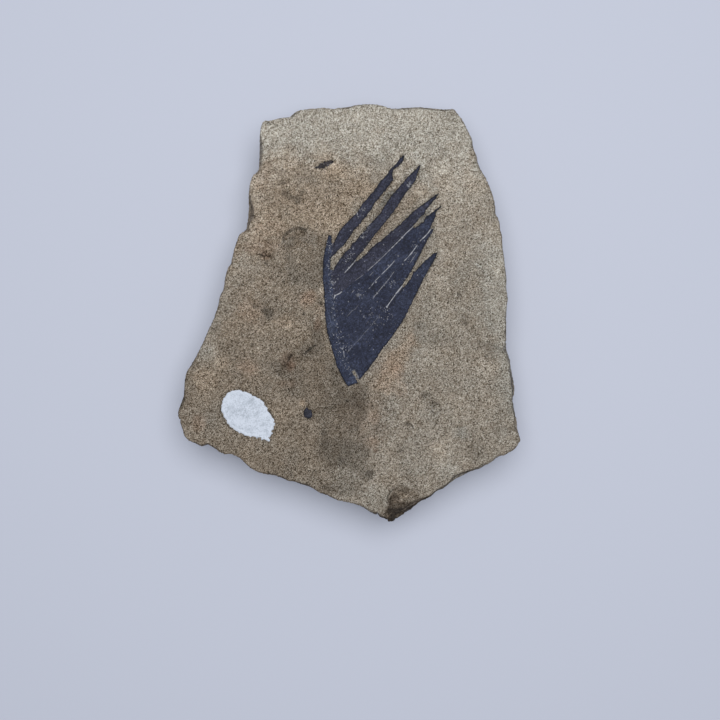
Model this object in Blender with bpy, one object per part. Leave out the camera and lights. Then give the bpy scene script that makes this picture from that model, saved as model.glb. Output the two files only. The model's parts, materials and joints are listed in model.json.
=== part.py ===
"""Fossil cycad leaf plate: a broken slab of sandstone with a carbonised leaf on its bedding face.

The slab lies on its flat underside, bedding face up (+Z). The leaf is a rachis with six leaflets
on its right side, each a thin film of carbon. A scrap of another plant, a speck of carbon and a
dab of white paint, where a collector would write, lie on the same face.

Run it with: blender --background --python part.py
Lengths are in millimetres and MM turns them into metres. Outlines run once around the shape, and
their points are measured from the middle of the slab.
"""
import math

import bmesh
import bpy
from mathutils import Vector, noise
from mathutils.geometry import delaunay_2d_cdt

MM = 0.001

# --- driving dimensions -------------------------------------------------------------------------

SLAB_THICKNESS = 15.0
FILM_THICKNESS = 0.3        # coalified leaf
PAINT_THICKNESS = 0.25      # dab of white paint
FILM_GAP = 0.3              # between the bedding face and what lies on it
SEAM_INSET = 0.12           # taken off every film's border, so that two films keep a seam

# The slab's bedding face. Its rim is a little lower than its middle, and it swells and dips gently.
RIM_DROP = 0.45
RIM_DROP_VARIATION = 0.3
RIM_WEAR_WIDTH = 3.2
SWELL_DEPTH = 0.35
SWELL_LENGTH = 15.0
FACE_SPACING = 2.5
LEAF_MIDDLE = (7.0, 9.0)    # the face is flat around here
LEAF_REACH = 27.0

# The slab's broken sides: rings from the underside up to the rim, as parts of the thickness.
RING_HEIGHTS = (0.0, 0.05, 0.16, 0.28, 0.40, 0.53, 0.66, 0.78, 0.90)
STATION_SPACING = 2.1       # longest step between two points of a ring
FOOT_TUCK = 0.9             # the underside's edge is rounded in
SIDE_SMOOTHING = 14         # how much smoother the side is at its foot than at the rim
SIDE_BULGE = 0.2            # the sides stand out a little below the rim
SIDE_ROUGHNESS = 0.9
SIDE_ROUGHNESS_LENGTH = 8.0
BEDDING_LENGTH = 2.6        # the roughness changes faster across the bedding than along it
UNDERSIDE_SPACING = 9.0

# Where the side slopes outwards below the rim: x, y, reach along the rim, distance out.
SIDE_FLARES = (
    (38.7, -17.2, 6.5, 2.0),
    (39.7, -25.5, 6.5, 1.2),
    (24.5, -40.5, 11.0, 1.3),
    (11.0, -49.3, 6.0, 2.4),
    (-40.2, -22.0, 5.0, 0.9),
    (-23.7, 26.0, 5.0, 1.2),
    (-21.1, 38.0, 6.0, 0.9),
)

# The scoop broken out of the bedding face at the slab's lowest corner.
CHIP_MIDDLE = (12.0, -50.3, 17.0)
CHIP_RADII = (5.3, 9.4, 7.2)
CHIP_ROUGHNESS = 0.45

RIM = (
    (-20.5, 45.9), (-19.4, 46.0), (-17.8, 46.4), (-15.8, 46.7), (-13.9, 46.7), (-13.3, 47.7),
    (-12.2, 48.3), (-10.8, 48.6), (-8.9, 48.9), (-7.0, 48.9), (-5.5, 49.0), (-4.1, 48.8),
    (-2.7, 49.0), (0.2, 49.3), (2.1, 49.7), (4.0, 50.0), (6.2, 49.9), (7.9, 49.5), (9.3, 49.1),
    (11.5, 48.9), (13.4, 49.0), (16.5, 49.1), (19.4, 48.9), (21.8, 48.7), (23.9, 48.5),
    (25.3, 48.7), (26.5, 47.0), (27.5, 45.5), (28.9, 42.2), (29.4, 39.8), (30.1, 38.4),
    (30.6, 36.7), (31.1, 34.8), (31.8, 33.6), (32.8, 31.7), (33.7, 29.5), (34.4, 27.1),
    (34.9, 23.6), (35.5, 23.0), (36.2, 19.9), (36.6, 16.3), (37.3, 11.8), (37.7, 6.8),
    (37.9, 3.5), (37.7, 1.7), (37.6, -3.5), (37.5, -8.8), (37.9, -10.5), (38.2, -12.6),
    (38.5, -15.0), (38.7, -17.0), (38.7, -18.6), (38.7, -20.5), (39.4, -23.2), (39.7, -25.8),
    (39.9, -28.2), (41.0, -30.5), (40.2, -31.8), (38.0, -33.4), (36.8, -34.1), (35.8, -34.2),
    (34.0, -35.6), (31.2, -36.9), (28.1, -38.2), (25.2, -39.4), (22.8, -41.4), (21.2, -42.1),
    (19.2, -44.0), (17.2, -44.8), (14.1, -47.4), (11.2, -49.5), (10.0, -50.0), (9.1, -49.5),
    (6.9, -48.3), (4.0, -46.6), (2.6, -45.9), (0.2, -45.4), (-2.9, -44.5), (-5.5, -43.3),
    (-7.0, -43.1), (-9.9, -41.3), (-12.7, -40.5), (-17.3, -39.3), (-20.4, -38.5),
    (-23.0, -37.3), (-25.2, -35.4), (-26.1, -34.4), (-28.8, -33.5), (-30.0, -33.6),
    (-32.1, -32.2), (-34.3, -31.1), (-35.0, -31.8), (-37.4, -30.6), (-38.6, -30.5),
    (-39.3, -29.5), (-40.0, -27.5), (-41.0, -24.4), (-40.7, -22.7), (-39.4, -20.1),
    (-39.3, -16.0), (-38.6, -13.8), (-36.4, -10.7), (-35.5, -8.7), (-34.3, -6.2),
    (-32.6, -1.9), (-31.2, 2.0), (-30.9, 3.6), (-29.6, 8.2), (-29.3, 10.1), (-28.5, 11.2),
    (-27.6, 14.2), (-26.6, 17.5), (-26.1, 18.7), (-25.4, 19.4), (-24.3, 19.9), (-23.8, 22.6),
    (-23.6, 25.9), (-23.7, 28.8), (-23.4, 31.9), (-22.8, 33.1), (-21.5, 34.1), (-21.1, 37.2),
    (-21.0, 40.3), (-21.1, 43.6),
)

# --- what lies on the bedding face --------------------------------------------------------------

LEAF_OUTLINES = {
    "rachis": (
        (-4.2, 18.5), (-4.9, 18.6), (-5.4, 17.0), (-6.2, 13.0), (-6.3, 7.7), (-6.0, 5.8),
        (-5.8, 0.0), (-5.5, -2.8), (-5.0, -5.6), (-4.3, -7.7), (-3.0, -12.6), (-0.9, -16.8),
        (-0.2, -17.5), (1.9, -16.7), (1.8, -16.0), (-0.4, -12.2), (-1.5, -9.2), (-2.6, -5.6),
        (-3.1, 0.0), (-4.1, 6.7), (-4.5, 10.6),
    ),
    "leaflet_1": (
        (13.3, 37.7), (12.3, 37.2), (11.5, 36.0), (9.5, 34.0), (9.2, 33.2), (7.6, 31.6),
        (6.2, 29.6), (3.0, 25.8), (2.1, 24.3), (-1.9, 20.2), (-3.5, 17.3), (-4.2, 13.9),
        (-3.4, 14.1), (-2.2, 15.5), (-1.4, 16.1), (0.8, 19.2), (1.1, 19.9), (2.2, 20.9),
        (3.5, 22.6), (4.3, 23.4), (5.5, 25.2), (5.9, 26.1), (7.0, 27.3), (10.3, 31.5),
        (10.5, 32.2), (10.3, 33.4), (10.6, 34.5), (11.7, 35.1), (12.7, 36.1),
    ),
    "leaflet_2": (
        (17.0, 35.4), (14.0, 32.5), (10.2, 28.1), (8.9, 26.3), (7.6, 24.1), (6.8, 23.1),
        (4.2, 20.5), (3.8, 19.8), (2.6, 18.6), (2.0, 17.7), (0.7, 16.5), (0.1, 15.5),
        (-1.1, 14.4), (-3.3, 11.3), (-4.1, 9.7), (-4.2, 8.7), (-4.0, 6.7), (-3.1, 7.7),
        (-1.1, 9.4), (0.4, 11.7), (3.3, 14.9), (5.8, 18.3), (10.2, 23.7), (11.5, 25.5),
        (13.4, 28.6), (14.7, 30.1), (15.8, 31.8),
    ),
    "leaflet_3": (
        (21.2, 28.6), (15.1, 24.1), (12.2, 21.2), (9.2, 18.7), (8.1, 17.6), (6.7, 16.7),
        (5.1, 15.3), (4.0, 14.0), (1.3, 11.9), (-1.0, 9.3), (-4.0, 6.5), (-3.6, 4.2),
        (-1.9, 5.2), (4.3, 9.9), (9.2, 14.6), (15.3, 20.9), (16.7, 22.6), (17.9, 23.7),
        (18.6, 25.0), (20.7, 27.4),
    ),
    "leaflet_4": (
        (21.9, 25.6), (18.5, 23.1), (17.8, 21.8), (14.6, 19.6), (8.5, 13.5), (4.4, 9.7),
        (-1.7, 5.0), (-3.6, 4.0), (-2.5, -5.3), (0.8, -1.9), (5.5, 3.4), (10.2, 9.3),
        (14.7, 14.2), (16.0, 15.8), (16.8, 17.7), (19.0, 19.7), (20.6, 22.9), (20.7, 24.2),
    ),
    "leaflet_5": (
        (20.1, 20.2), (19.8, 19.1), (18.9, 17.8), (18.2, 16.5), (14.8, 9.9), (11.7, 5.3),
        (8.8, 1.4), (7.2, -0.1), (5.4, -2.6), (-1.0, -9.8), (-1.7, -8.0), (-2.3, -5.7),
        (5.7, 3.2), (10.4, 9.1), (14.9, 14.1), (16.1, 15.6), (17.2, 17.6), (18.5, 18.6),
    ),
    "leaflet_6": (
        (21.0, 14.5), (19.9, 14.0), (18.3, 12.6), (15.4, 9.6), (14.7, 8.2), (9.1, 1.2),
        (7.4, -0.3), (5.6, -2.8), (-0.8, -10.1), (-0.1, -11.9), (0.8, -13.4), (1.4, -13.8),
        (2.5, -15.8), (4.8, -13.2), (6.4, -11.0), (7.9, -8.6), (9.8, -6.3), (12.9, -1.8),
        (17.9, 8.4), (20.6, 13.2),
    ),
}

PLANT_FRAGMENT = (
    (-8.1, 34.6), (-7.1, 35.6), (-5.5, 36.3), (-4.0, 36.5), (-3.7, 36.1), (-4.7, 35.5),
    (-5.5, 34.9), (-6.7, 34.6),
)

CARBON_SPECK = (
    (-11.0, -23.8), (-10.2, -22.6), (-9.6, -23.2), (-8.9, -23.5), (-8.8, -24.7), (-9.5, -25.2),
    (-10.1, -25.2), (-10.7, -24.8),
)

LABEL_PATCH = (
    (-30.7, -22.2), (-30.0, -20.3), (-29.0, -19.1), (-28.1, -18.6), (-26.6, -18.4),
    (-24.2, -19.1), (-20.7, -21.0), (-19.7, -22.9), (-18.2, -25.3), (-17.9, -26.5),
    (-18.7, -29.6), (-19.4, -30.5), (-20.4, -30.4), (-21.8, -29.9), (-24.7, -29.3),
    (-26.1, -28.7), (-27.6, -27.8), (-28.8, -26.9), (-29.7, -25.3), (-30.4, -23.7),
)


# --- small helpers ------------------------------------------------------------------------------

def clear_scene():
    """Remove every object, so that the file can be run again in an open scene."""
    for obj in list(bpy.data.objects):
        bpy.data.objects.remove(obj)


def new_collection(name):
    """Add a collection to the scene and return it."""
    collection = bpy.data.collections.new(name)
    bpy.context.scene.collection.children.link(collection)
    return collection


def material(name, colour, roughness):
    """Make a Principled material from a linear colour."""
    mat = bpy.data.materials.new(name)
    mat.use_nodes = True
    shader = mat.node_tree.nodes["Principled BSDF"]
    shader.inputs["Base Color"].default_value = (*colour, 1.0)
    shader.inputs["Roughness"].default_value = roughness
    shader.inputs["Metallic"].default_value = 0.0
    return mat


def smoothstep(low, high, value):
    """Rise smoothly from 0 at low to 1 at high."""
    t = min(max((value - low) / (high - low), 0.0), 1.0)
    return t * t * (3.0 - 2.0 * t)


def outward_normals(outline):
    """Return the outward normal at each point of a clockwise outline."""
    normals = []
    for i, point in enumerate(outline):
        ahead = outline[(i + 1) % len(outline)] - outline[i - 1]
        normals.append(Vector((-ahead.y, ahead.x)).normalized())
    return normals


def signed_area(outline):
    """Return the outline's area, negative when it runs clockwise."""
    return 0.5 * sum(a.cross(b) for a, b in zip(outline, outline[1:] + outline[:1]))


def clockwise(points):
    """Return the points as 2D vectors, in clockwise order."""
    outline = [Vector(point) for point in points]
    return outline if signed_area(outline) < 0.0 else outline[::-1]


def divided(outline, spacing):
    """Add points along a closed outline, so that no step is longer than the spacing."""
    points = []
    for a, b in zip(outline, outline[1:] + outline[:1]):
        steps = math.ceil((b - a).length / spacing)
        points += [a.lerp(b, step / steps) for step in range(steps)]
    return points


def relaxed(outline, rounds):
    """Smooth a closed outline by moving each point towards its neighbours."""
    for _ in range(rounds):
        outline = [
            0.5 * point + 0.25 * (outline[i - 1] + outline[(i + 1) % len(outline)])
            for i, point in enumerate(outline)
        ]
    return outline


def is_inside(point, outline):
    """Tell whether a point lies inside a closed outline."""
    inside = False
    for a, b in zip(outline, outline[1:] + outline[:1]):
        crosses = (a.y > point.y) != (b.y > point.y)
        if crosses and point.x < a.x + (point.y - a.y) * (b.x - a.x) / (b.y - a.y):
            inside = not inside
    return inside


def distance_to_outline(point, outline):
    """Return the shortest distance from a point to a closed outline."""
    shortest = math.inf
    for a, b in zip(outline, outline[1:] + outline[:1]):
        side = b - a
        t = min(max((point - a).dot(side) / side.length_squared, 0.0), 1.0)
        shortest = min(shortest, (point - a - t * side).length)
    return shortest


# --- the slab -----------------------------------------------------------------------------------

def flare_at(point):
    """Return how far the side stands out below the rim at this point of it."""
    out = SIDE_BULGE
    for x, y, reach, distance in SIDE_FLARES:
        away = (point - Vector((x, y))).length
        out = max(out, distance * (1.0 - smoothstep(0.35 * reach, reach, away)))
    return out


def side_ring(rim, height):
    """Return one ring of the broken side, at a height given as a part of the thickness."""
    normals = outward_normals(relaxed(rim, 3))
    smooth = relaxed(rim, round(SIDE_SMOOTHING * (1.0 - height)))
    flare_share = smoothstep(1.0, 0.55, height)
    tuck = FOOT_TUCK if height == 0.0 else 0.0
    z = height * SLAB_THICKNESS
    ring = []
    for point, normal, station in zip(smooth, normals, rim):
        grain = Vector((point.x, point.y, z * SIDE_ROUGHNESS_LENGTH / BEDDING_LENGTH))
        rough = SIDE_ROUGHNESS * noise.fractal(grain / SIDE_ROUGHNESS_LENGTH, 0.7, 2.2, 3)
        out = flare_at(station) * flare_share + rough * (1.0 - height) ** 0.3 - tuck
        ring.append((point.x + normal.x * out, point.y + normal.y * out, z))
    return ring


def rim_ring(rim):
    """Return the rim, the top of the broken side."""
    ring = []
    for point in rim:
        wear = noise.noise(Vector((point.x, point.y, 40.0)) / 6.0)
        z = SLAB_THICKNESS - RIM_DROP - RIM_DROP_VARIATION * wear
        ring.append((point.x, point.y, z))
    return ring


def face_height(point, rim):
    """Return the bedding face's height: flat under the leaf, gently uneven, worn at the rim."""
    swell = 0.5 + 0.5 * noise.fractal(Vector((point.x, point.y, 7.0)) / SWELL_LENGTH, 1.0, 2.0, 3)
    from_leaf = (point - Vector(LEAF_MIDDLE)).length
    uneven = smoothstep(0.7 * LEAF_REACH, 1.3 * LEAF_REACH, from_leaf)
    worn = 1.0 - smoothstep(0.0, RIM_WEAR_WIDTH, distance_to_outline(point, rim))
    return SLAB_THICKNESS - SWELL_DEPTH * swell * uneven - RIM_DROP * worn


def inner_points(rim, spacing, margin):
    """Return an uneven triangular grid of points that keep clear of the rim."""
    points = []
    row_step = spacing * math.sqrt(0.75)
    low_x = min(p.x for p in rim)
    high_x = max(p.x for p in rim)
    low_y = min(p.y for p in rim)
    high_y = max(p.y for p in rim)
    for row in range(math.ceil((high_y - low_y) / row_step)):
        for column in range(math.ceil((high_x - low_x) / spacing)):
            x = low_x + (column + 0.5 * (row % 2)) * spacing
            y = low_y + row * row_step
            shift = noise.noise_vector(Vector((x, y, 3.0)) * 1.7) * 0.3 * spacing
            point = Vector((x + shift.x, y + shift.y))
            if is_inside(point, rim) and distance_to_outline(point, rim) > margin:
                points.append(point)
    return points


def add_cap(bm, ring, inner, heights, faces_up):
    """Close a ring of vertices with a triangulated sheet through the inner points."""
    border = [Vector(vert.co.xy) / MM for vert in ring]
    loop = list(range(len(border)))
    if signed_area(border) < 0.0:
        loop.reverse()
    coords, _, triangles, _, _, _ = delaunay_2d_cdt(border + inner, [], [loop], 1, 1e-5)
    verts = list(ring)
    for point, height in zip(coords[len(border):], heights):
        verts.append(bm.verts.new((point.x * MM, point.y * MM, height * MM)))
    for triangle in triangles:
        corners = [verts[i] for i in triangle]
        bm.faces.new(corners if faces_up else corners[::-1])


def build_slab(collection, cutters):
    """Make the slab: side rings, a bedding face, a flat underside and the chipped corner."""
    bm = bmesh.new()
    rim = divided(clockwise(RIM), STATION_SPACING)
    rings = [side_ring(rim, height) for height in RING_HEIGHTS] + [rim_ring(rim)]
    loops = [[bm.verts.new(Vector(point) * MM) for point in ring] for ring in rings]
    for lower, upper in zip(loops, loops[1:]):
        for i in range(len(lower)):
            j = (i + 1) % len(lower)
            bm.faces.new((lower[i], upper[i], upper[j], lower[j]))

    face_points = inner_points(rim, FACE_SPACING, 0.45 * FACE_SPACING)
    add_cap(bm, loops[-1], face_points, [face_height(p, rim) for p in face_points], True)
    foot = [Vector(point[:2]) for point in rings[0]]
    foot_points = inner_points(foot, UNDERSIDE_SPACING, 0.5 * UNDERSIDE_SPACING)
    add_cap(bm, loops[0], foot_points, [0.0] * len(foot_points), False)

    bmesh.ops.recalc_face_normals(bm, faces=bm.faces)
    mesh = bpy.data.meshes.new("sandstone_slab")
    bm.to_mesh(mesh)
    bm.free()
    slab = bpy.data.objects.new("sandstone_slab", mesh)
    collection.objects.link(slab)
    cut = slab.modifiers.new("corner chip", "BOOLEAN")
    cut.operation = "DIFFERENCE"
    cut.solver = "EXACT"
    cut.object = build_chip_cutter(cutters)
    return slab


def build_chip_cutter(cutters):
    """Make the rough ellipsoid that scoops the chip out of the slab's corner."""
    bm = bmesh.new()
    bmesh.ops.create_icosphere(bm, subdivisions=3, radius=1.0)
    for vert in bm.verts:
        rough = 1.0 + CHIP_ROUGHNESS * noise.fractal(vert.co * 2.2, 0.8, 2.0, 2) / CHIP_RADII[0]
        for axis in range(3):
            vert.co[axis] = (CHIP_MIDDLE[axis] + vert.co[axis] * rough * CHIP_RADII[axis]) * MM
    mesh = bpy.data.meshes.new("corner_chip_cutter")
    bm.to_mesh(mesh)
    bm.free()
    cutter = bpy.data.objects.new("corner_chip_cutter", mesh)
    cutter.hide_render = True
    cutter.display_type = "WIRE"
    cutters.objects.link(cutter)
    return cutter


# --- films on the bedding face ------------------------------------------------------------------

def build_film(collection, name, points, thickness):
    """Make a thin flat film that lies on the bedding face, from its outline."""
    outline = clockwise(points)
    normals = outward_normals(outline)
    curve = bpy.data.curves.new(name, "CURVE")
    curve.dimensions = "2D"
    curve.fill_mode = "BOTH"
    curve.extrude = 0.5 * thickness * MM
    spline = curve.splines.new("POLY")
    spline.points.add(len(outline) - 1)
    for knot, point, normal in zip(spline.points, outline, normals):
        place = (point - SEAM_INSET * normal) * MM
        knot.co = (place.x, place.y, 0.0, 1.0)
    spline.use_cyclic_u = True
    film = bpy.data.objects.new(name, curve)
    film.location.z = (SLAB_THICKNESS + FILM_GAP + 0.5 * thickness) * MM
    collection.objects.link(film)
    return film


def centre_on_origin(slab, pieces):
    """Hang every piece from an empty that puts the middle of the slab's underside at the origin."""
    bpy.context.view_layer.update()
    corners = [Vector(corner) for corner in slab.bound_box]
    middle = 0.5 * (min(c.x for c in corners) + max(c.x for c in corners))
    depth = 0.5 * (min(c.y for c in corners) + max(c.y for c in corners))
    plate = bpy.data.objects.new("plate_origin", None)
    bpy.context.scene.collection.objects.link(plate)
    plate.location = (-middle, -depth, 0.0)
    for piece in pieces:
        piece.parent = plate


def main():
    """Build the plate."""
    clear_scene()
    plate = new_collection("fossil_cycad_leaf_plate")
    cutters = new_collection("cutters")

    slab = build_slab(plate, cutters)
    slab.data.materials.append(material("sandstone", (0.250, 0.215, 0.170), 0.92))
    pieces = [slab, *cutters.objects]

    for name, points in LEAF_OUTLINES.items():
        film = build_film(plate, name, points, FILM_THICKNESS)
        colour = (0.052, 0.060, 0.085) if name == "rachis" else (0.037, 0.044, 0.070)
        film.data.materials.append(material(f"{name}_carbon", colour, 0.62))
        pieces.append(film)

    fragment = build_film(plate, "plant_fragment", PLANT_FRAGMENT, FILM_THICKNESS)
    fragment.data.materials.append(material("plant_fragment_carbon", (0.045, 0.045, 0.055), 0.7))
    speck = build_film(plate, "carbon_speck", CARBON_SPECK, FILM_THICKNESS)
    speck.data.materials.append(material("carbon_speck_carbon", (0.035, 0.033, 0.040), 0.7))
    label = build_film(plate, "label_patch", LABEL_PATCH, PAINT_THICKNESS)
    label.data.materials.append(material("white_paint", (0.560, 0.610, 0.680), 0.6))
    pieces += [fragment, speck, label]
    centre_on_origin(slab, pieces)


main()
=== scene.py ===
"""Looks of the fossil cycad leaf plate: sandstone, coalified leaf film and a dab of white paint.

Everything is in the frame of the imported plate: metres, +Z up, the middle of the slab's underside at
the origin. Sizes and places here are millimetres from that origin, and MM turns them into metres.
"""
from __future__ import annotations

import json
import logging
import math
from collections.abc import Iterable, Mapping, Sequence
from dataclasses import astuple, dataclass
from enum import Enum
from typing import Any

import bmesh
import bpy
import numpy as np
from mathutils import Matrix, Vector, noise
from mathutils.bvhtree import BVHTree

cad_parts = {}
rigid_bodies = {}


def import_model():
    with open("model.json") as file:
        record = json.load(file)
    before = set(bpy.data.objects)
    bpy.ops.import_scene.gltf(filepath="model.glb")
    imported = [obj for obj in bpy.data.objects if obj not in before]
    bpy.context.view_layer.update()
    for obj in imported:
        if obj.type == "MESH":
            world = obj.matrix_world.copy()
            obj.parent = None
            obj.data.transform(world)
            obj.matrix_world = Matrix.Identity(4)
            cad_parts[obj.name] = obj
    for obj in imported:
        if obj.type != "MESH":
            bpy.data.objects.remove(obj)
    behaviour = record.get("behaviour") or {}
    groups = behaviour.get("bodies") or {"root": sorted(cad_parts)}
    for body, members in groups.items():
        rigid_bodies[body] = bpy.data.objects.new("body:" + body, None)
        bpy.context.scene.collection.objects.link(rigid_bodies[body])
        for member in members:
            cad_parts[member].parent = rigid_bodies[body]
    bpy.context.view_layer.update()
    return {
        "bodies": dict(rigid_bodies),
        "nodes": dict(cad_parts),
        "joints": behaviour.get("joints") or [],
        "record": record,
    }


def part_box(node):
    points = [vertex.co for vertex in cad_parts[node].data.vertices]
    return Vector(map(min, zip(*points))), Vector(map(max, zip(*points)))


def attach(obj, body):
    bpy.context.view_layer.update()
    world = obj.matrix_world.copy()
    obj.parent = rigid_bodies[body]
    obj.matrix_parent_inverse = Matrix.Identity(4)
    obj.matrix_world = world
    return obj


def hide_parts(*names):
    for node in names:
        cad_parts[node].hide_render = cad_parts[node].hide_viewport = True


LOG = logging.getLogger("leaf_plate")

MM = 0.001
TINY = 1e-12
JOINED_CORNERS_M = 1e-6
FACING_UP = 0.9
SHARP_EDGE_DEG = 45.0
BODY = "root"
MATH = "ShaderNodeMath"

Point = tuple[float, float]
Line = tuple[Point, ...]


class Face(Enum):
    """The three kinds of surface on the slab."""

    BEDDING = "bedding face"
    BROKEN = "broken side"
    UNDERSIDE = "underside"


# --- numbers and fields ---


def linear(colour: str) -> tuple[float, float, float, float]:
    """Turn an sRGB hex value into linear RGBA.

    Args:
        colour: the value as "#rrggbb".

    Returns:
        The linear red, green and blue, and an alpha of 1.
    """
    channels = [int(colour[start : start + 2], 16) / 255.0 for start in (1, 3, 5)]
    straight = [c / 12.92 if c <= 0.04045 else ((c + 0.055) / 1.055) ** 2.4 for c in channels]
    return (straight[0], straight[1], straight[2], 1.0)


def smoothstep(low: float, high: float, value: np.ndarray) -> np.ndarray:
    """Rise smoothly from 0 at low to 1 at high."""
    t = np.clip((value - low) / (high - low), 0.0, 1.0)
    return t * t * (3.0 - 2.0 * t)


@dataclass(frozen=True)
class Unevenness:
    """A smooth random field.

    The size is the width of its largest features. The seed is a distance along the noise's third
    axis, so that two fields differ. Each octave adds a layer twice as fine and half as strong.
    """

    size_mm: float
    seed: float
    strength: float = 1.0
    octaves: int = 3

    def at(self, points: np.ndarray) -> np.ndarray:
        """Sample the field at many points.

        Args:
            points: places in millimetres, as (n, 2) or (n, 3).

        Returns:
            One value for each point, about minus to plus the strength.
        """
        scaled = np.zeros((len(points), 3))
        scaled[:, : points.shape[1]] = points / self.size_mm
        scaled[:, 2] += self.seed
        values = [noise.fractal(place, 1.0, 2.0, self.octaves) for place in scaled.tolist()]
        return self.strength * np.array(values)


def border_distance(points: np.ndarray, outline: np.ndarray) -> np.ndarray:
    """Measure how far points lie inside a closed outline.

    Args:
        points: (n, 2) places.
        outline: (m, 2) corners in order.

    Returns:
        The distance to the outline for each point, negative outside it.
    """
    nearest = np.full(len(points), np.inf)
    inside = np.zeros(len(points), bool)
    for a, b in zip(outline, np.roll(outline, -1, axis=0)):
        side = b - a
        away = points - a
        t = np.clip(away @ side / max(side @ side, TINY), 0.0, 1.0)
        nearest = np.minimum(nearest, np.hypot(*(away - t[:, None] * side).T))
        crosses = (a[1] > points[:, 1]) != (b[1] > points[:, 1])
        if crosses.any():
            reach = a[0] + (points[:, 1] - a[1]) * side[0] / (side[1] or TINY)
            inside ^= crosses & (points[:, 0] < reach)
    return np.where(inside, nearest, -nearest)


def line_places(points: np.ndarray, line: Line) -> tuple[np.ndarray, np.ndarray, float]:
    """Find where points lie beside an open line.

    Args:
        points: (n, 2) places.
        line: the line's corners.

    Returns:
        How far each point lies to the left of the line, negative on its right; how far along the
        line its nearest point lies; and the line's length. All are in millimetres.
    """
    nearest = np.full(len(points), np.inf)
    aside = np.zeros(len(points))
    along = np.zeros(len(points))
    passed = 0.0
    for a, b in zip(np.array(line[:-1], float), np.array(line[1:], float)):
        side = b - a
        length = float(np.hypot(*side))
        away = points - a
        t = np.clip(away @ side / (length * length), 0.0, 1.0)
        distance = np.hypot(*(away - t[:, None] * side).T)
        left = np.sign(side[0] * away[:, 1] - side[1] * away[:, 0])
        closer = distance < nearest
        nearest = np.where(closer, distance, nearest)
        aside = np.where(closer, distance * left, aside)
        along = np.where(closer, passed + t * length, along)
        passed += length
    return aside, along, passed


def ring_line(middle: Point, radius: float, steps: int = 16) -> Line:
    """Return a circle as a closed line of short steps."""
    turns = [math.tau * step / steps for step in range(steps + 1)]
    return tuple((middle[0] + radius * math.cos(a), middle[1] + radius * math.sin(a)) for a in turns)


# --- meshes ---


def new_object(name: str, mesh: bpy.types.Mesh) -> bpy.types.Object:
    """Link a mesh into the scene.

    Args:
        name: the new object's name.
        mesh: its mesh.

    Returns:
        The new object.
    """
    obj = bpy.data.objects.new(name, mesh)
    bpy.context.scene.collection.objects.link(obj)
    return obj


def joined_corners(node: bpy.types.Object) -> bmesh.types.BMesh:
    """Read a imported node's mesh and join its loose corners.

    Args:
        node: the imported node.

    Returns:
        The joined mesh, which the caller frees.
    """
    bm = bmesh.new()
    bm.from_mesh(node.data)
    bmesh.ops.remove_doubles(bm, verts=bm.verts, dist=JOINED_CORNERS_M)
    return bm


def merged_copy(node: bpy.types.Object) -> bpy.types.Mesh:
    """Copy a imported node's mesh with its loose corners joined.

    Args:
        node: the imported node.

    Returns:
        The new mesh.
    """
    bm = joined_corners(node)
    mesh = bpy.data.meshes.new(f"{node.name}_copy")
    bm.to_mesh(mesh)
    bm.free()
    return mesh


def finish_mesh(obj: bpy.types.Object) -> None:
    """Turn an object with live modifiers into a plain mesh, and put that in its place.

    Args:
        obj: the object, whose modifiers are removed.
    """
    graph = bpy.context.evaluated_depsgraph_get()
    mesh = bpy.data.meshes.new_from_object(
        obj.evaluated_get(graph), preserve_all_data_layers=True, depsgraph=graph
    )
    old = obj.data
    obj.modifiers.clear()
    obj.data = mesh
    bpy.data.meshes.remove(old)


def places(mesh: bpy.types.Mesh) -> np.ndarray:
    """Read the places of a mesh's vertices.

    Args:
        mesh: the mesh.

    Returns:
        The places as (n, 3) millimetres.
    """
    flat = np.zeros(len(mesh.vertices) * 3, np.float32)
    mesh.vertices.foreach_get("co", flat)
    return flat.reshape(-1, 3).astype(float) / MM


def set_places(mesh: bpy.types.Mesh, points: np.ndarray) -> None:
    """Move the mesh's vertices to (n, 3) millimetres."""
    mesh.vertices.foreach_set("co", (points * MM).astype(np.float32).ravel())
    mesh.update()


def vertex_normals(mesh: bpy.types.Mesh) -> np.ndarray:
    """Read the normals of a mesh's vertices.

    Args:
        mesh: the mesh.

    Returns:
        The normals as (n, 3).
    """
    flat = np.zeros(len(mesh.vertices) * 3, np.float32)
    mesh.vertex_normals.foreach_get("vector", flat)
    return flat.reshape(-1, 3).astype(float)


def paint(mesh: bpy.types.Mesh, name: str, values: np.ndarray) -> None:
    """Store one number for each vertex under a name that a material reads."""
    layer = mesh.attributes.get(name) or mesh.attributes.new(name, "FLOAT", "POINT")
    layer.data.foreach_set("value", values.astype(np.float32))


def film_outline(node: bpy.types.Object) -> np.ndarray:
    """Read the outline of a flat film node from the border of its upper face.

    Args:
        node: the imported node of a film.

    Returns:
        The outline's corners in order, as (n, 2) millimetres.
    """
    bm = joined_corners(node)
    upper = {face for face in bm.faces if face.normal.z > FACING_UP}
    ahead = {}
    for face in upper:
        for loop in face.loops:
            if not any(other in upper for other in loop.edge.link_faces if other is not face):
                ahead[loop.vert] = loop.link_loop_next.vert
    corners = [next(iter(ahead))]
    while ahead[corners[-1]] is not corners[0]:
        corners.append(ahead[corners[-1]])
    outline = np.array([corner.co.xy for corner in corners]) / MM
    bm.free()
    return outline


# --- nodes ---


def add_node(
    tree: bpy.types.NodeTree,
    kind: str,
    inputs: Mapping[str | int, Any] | Sequence[Any] = (),
    **settings: Any,
) -> bpy.types.Node:
    """Add a node with its settings, values and links.

    Args:
        tree: the tree that gets the node.
        kind: the node's type.
        inputs: a value for each input, in order, or by name or number. A socket is linked, and a
            node stands for its first output.
        settings: properties of the node itself.

    Returns:
        The new node.
    """
    node = tree.nodes.new(kind)
    for name, value in settings.items():
        setattr(node, name, value)
    for key, value in inputs.items() if isinstance(inputs, Mapping) else enumerate(inputs):
        if isinstance(value, bpy.types.Node):
            value = value.outputs[0]
        if isinstance(value, bpy.types.NodeSocket):
            tree.links.new(value, node.inputs[key])
        else:
            node.inputs[key].default_value = value
    return node


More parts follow.
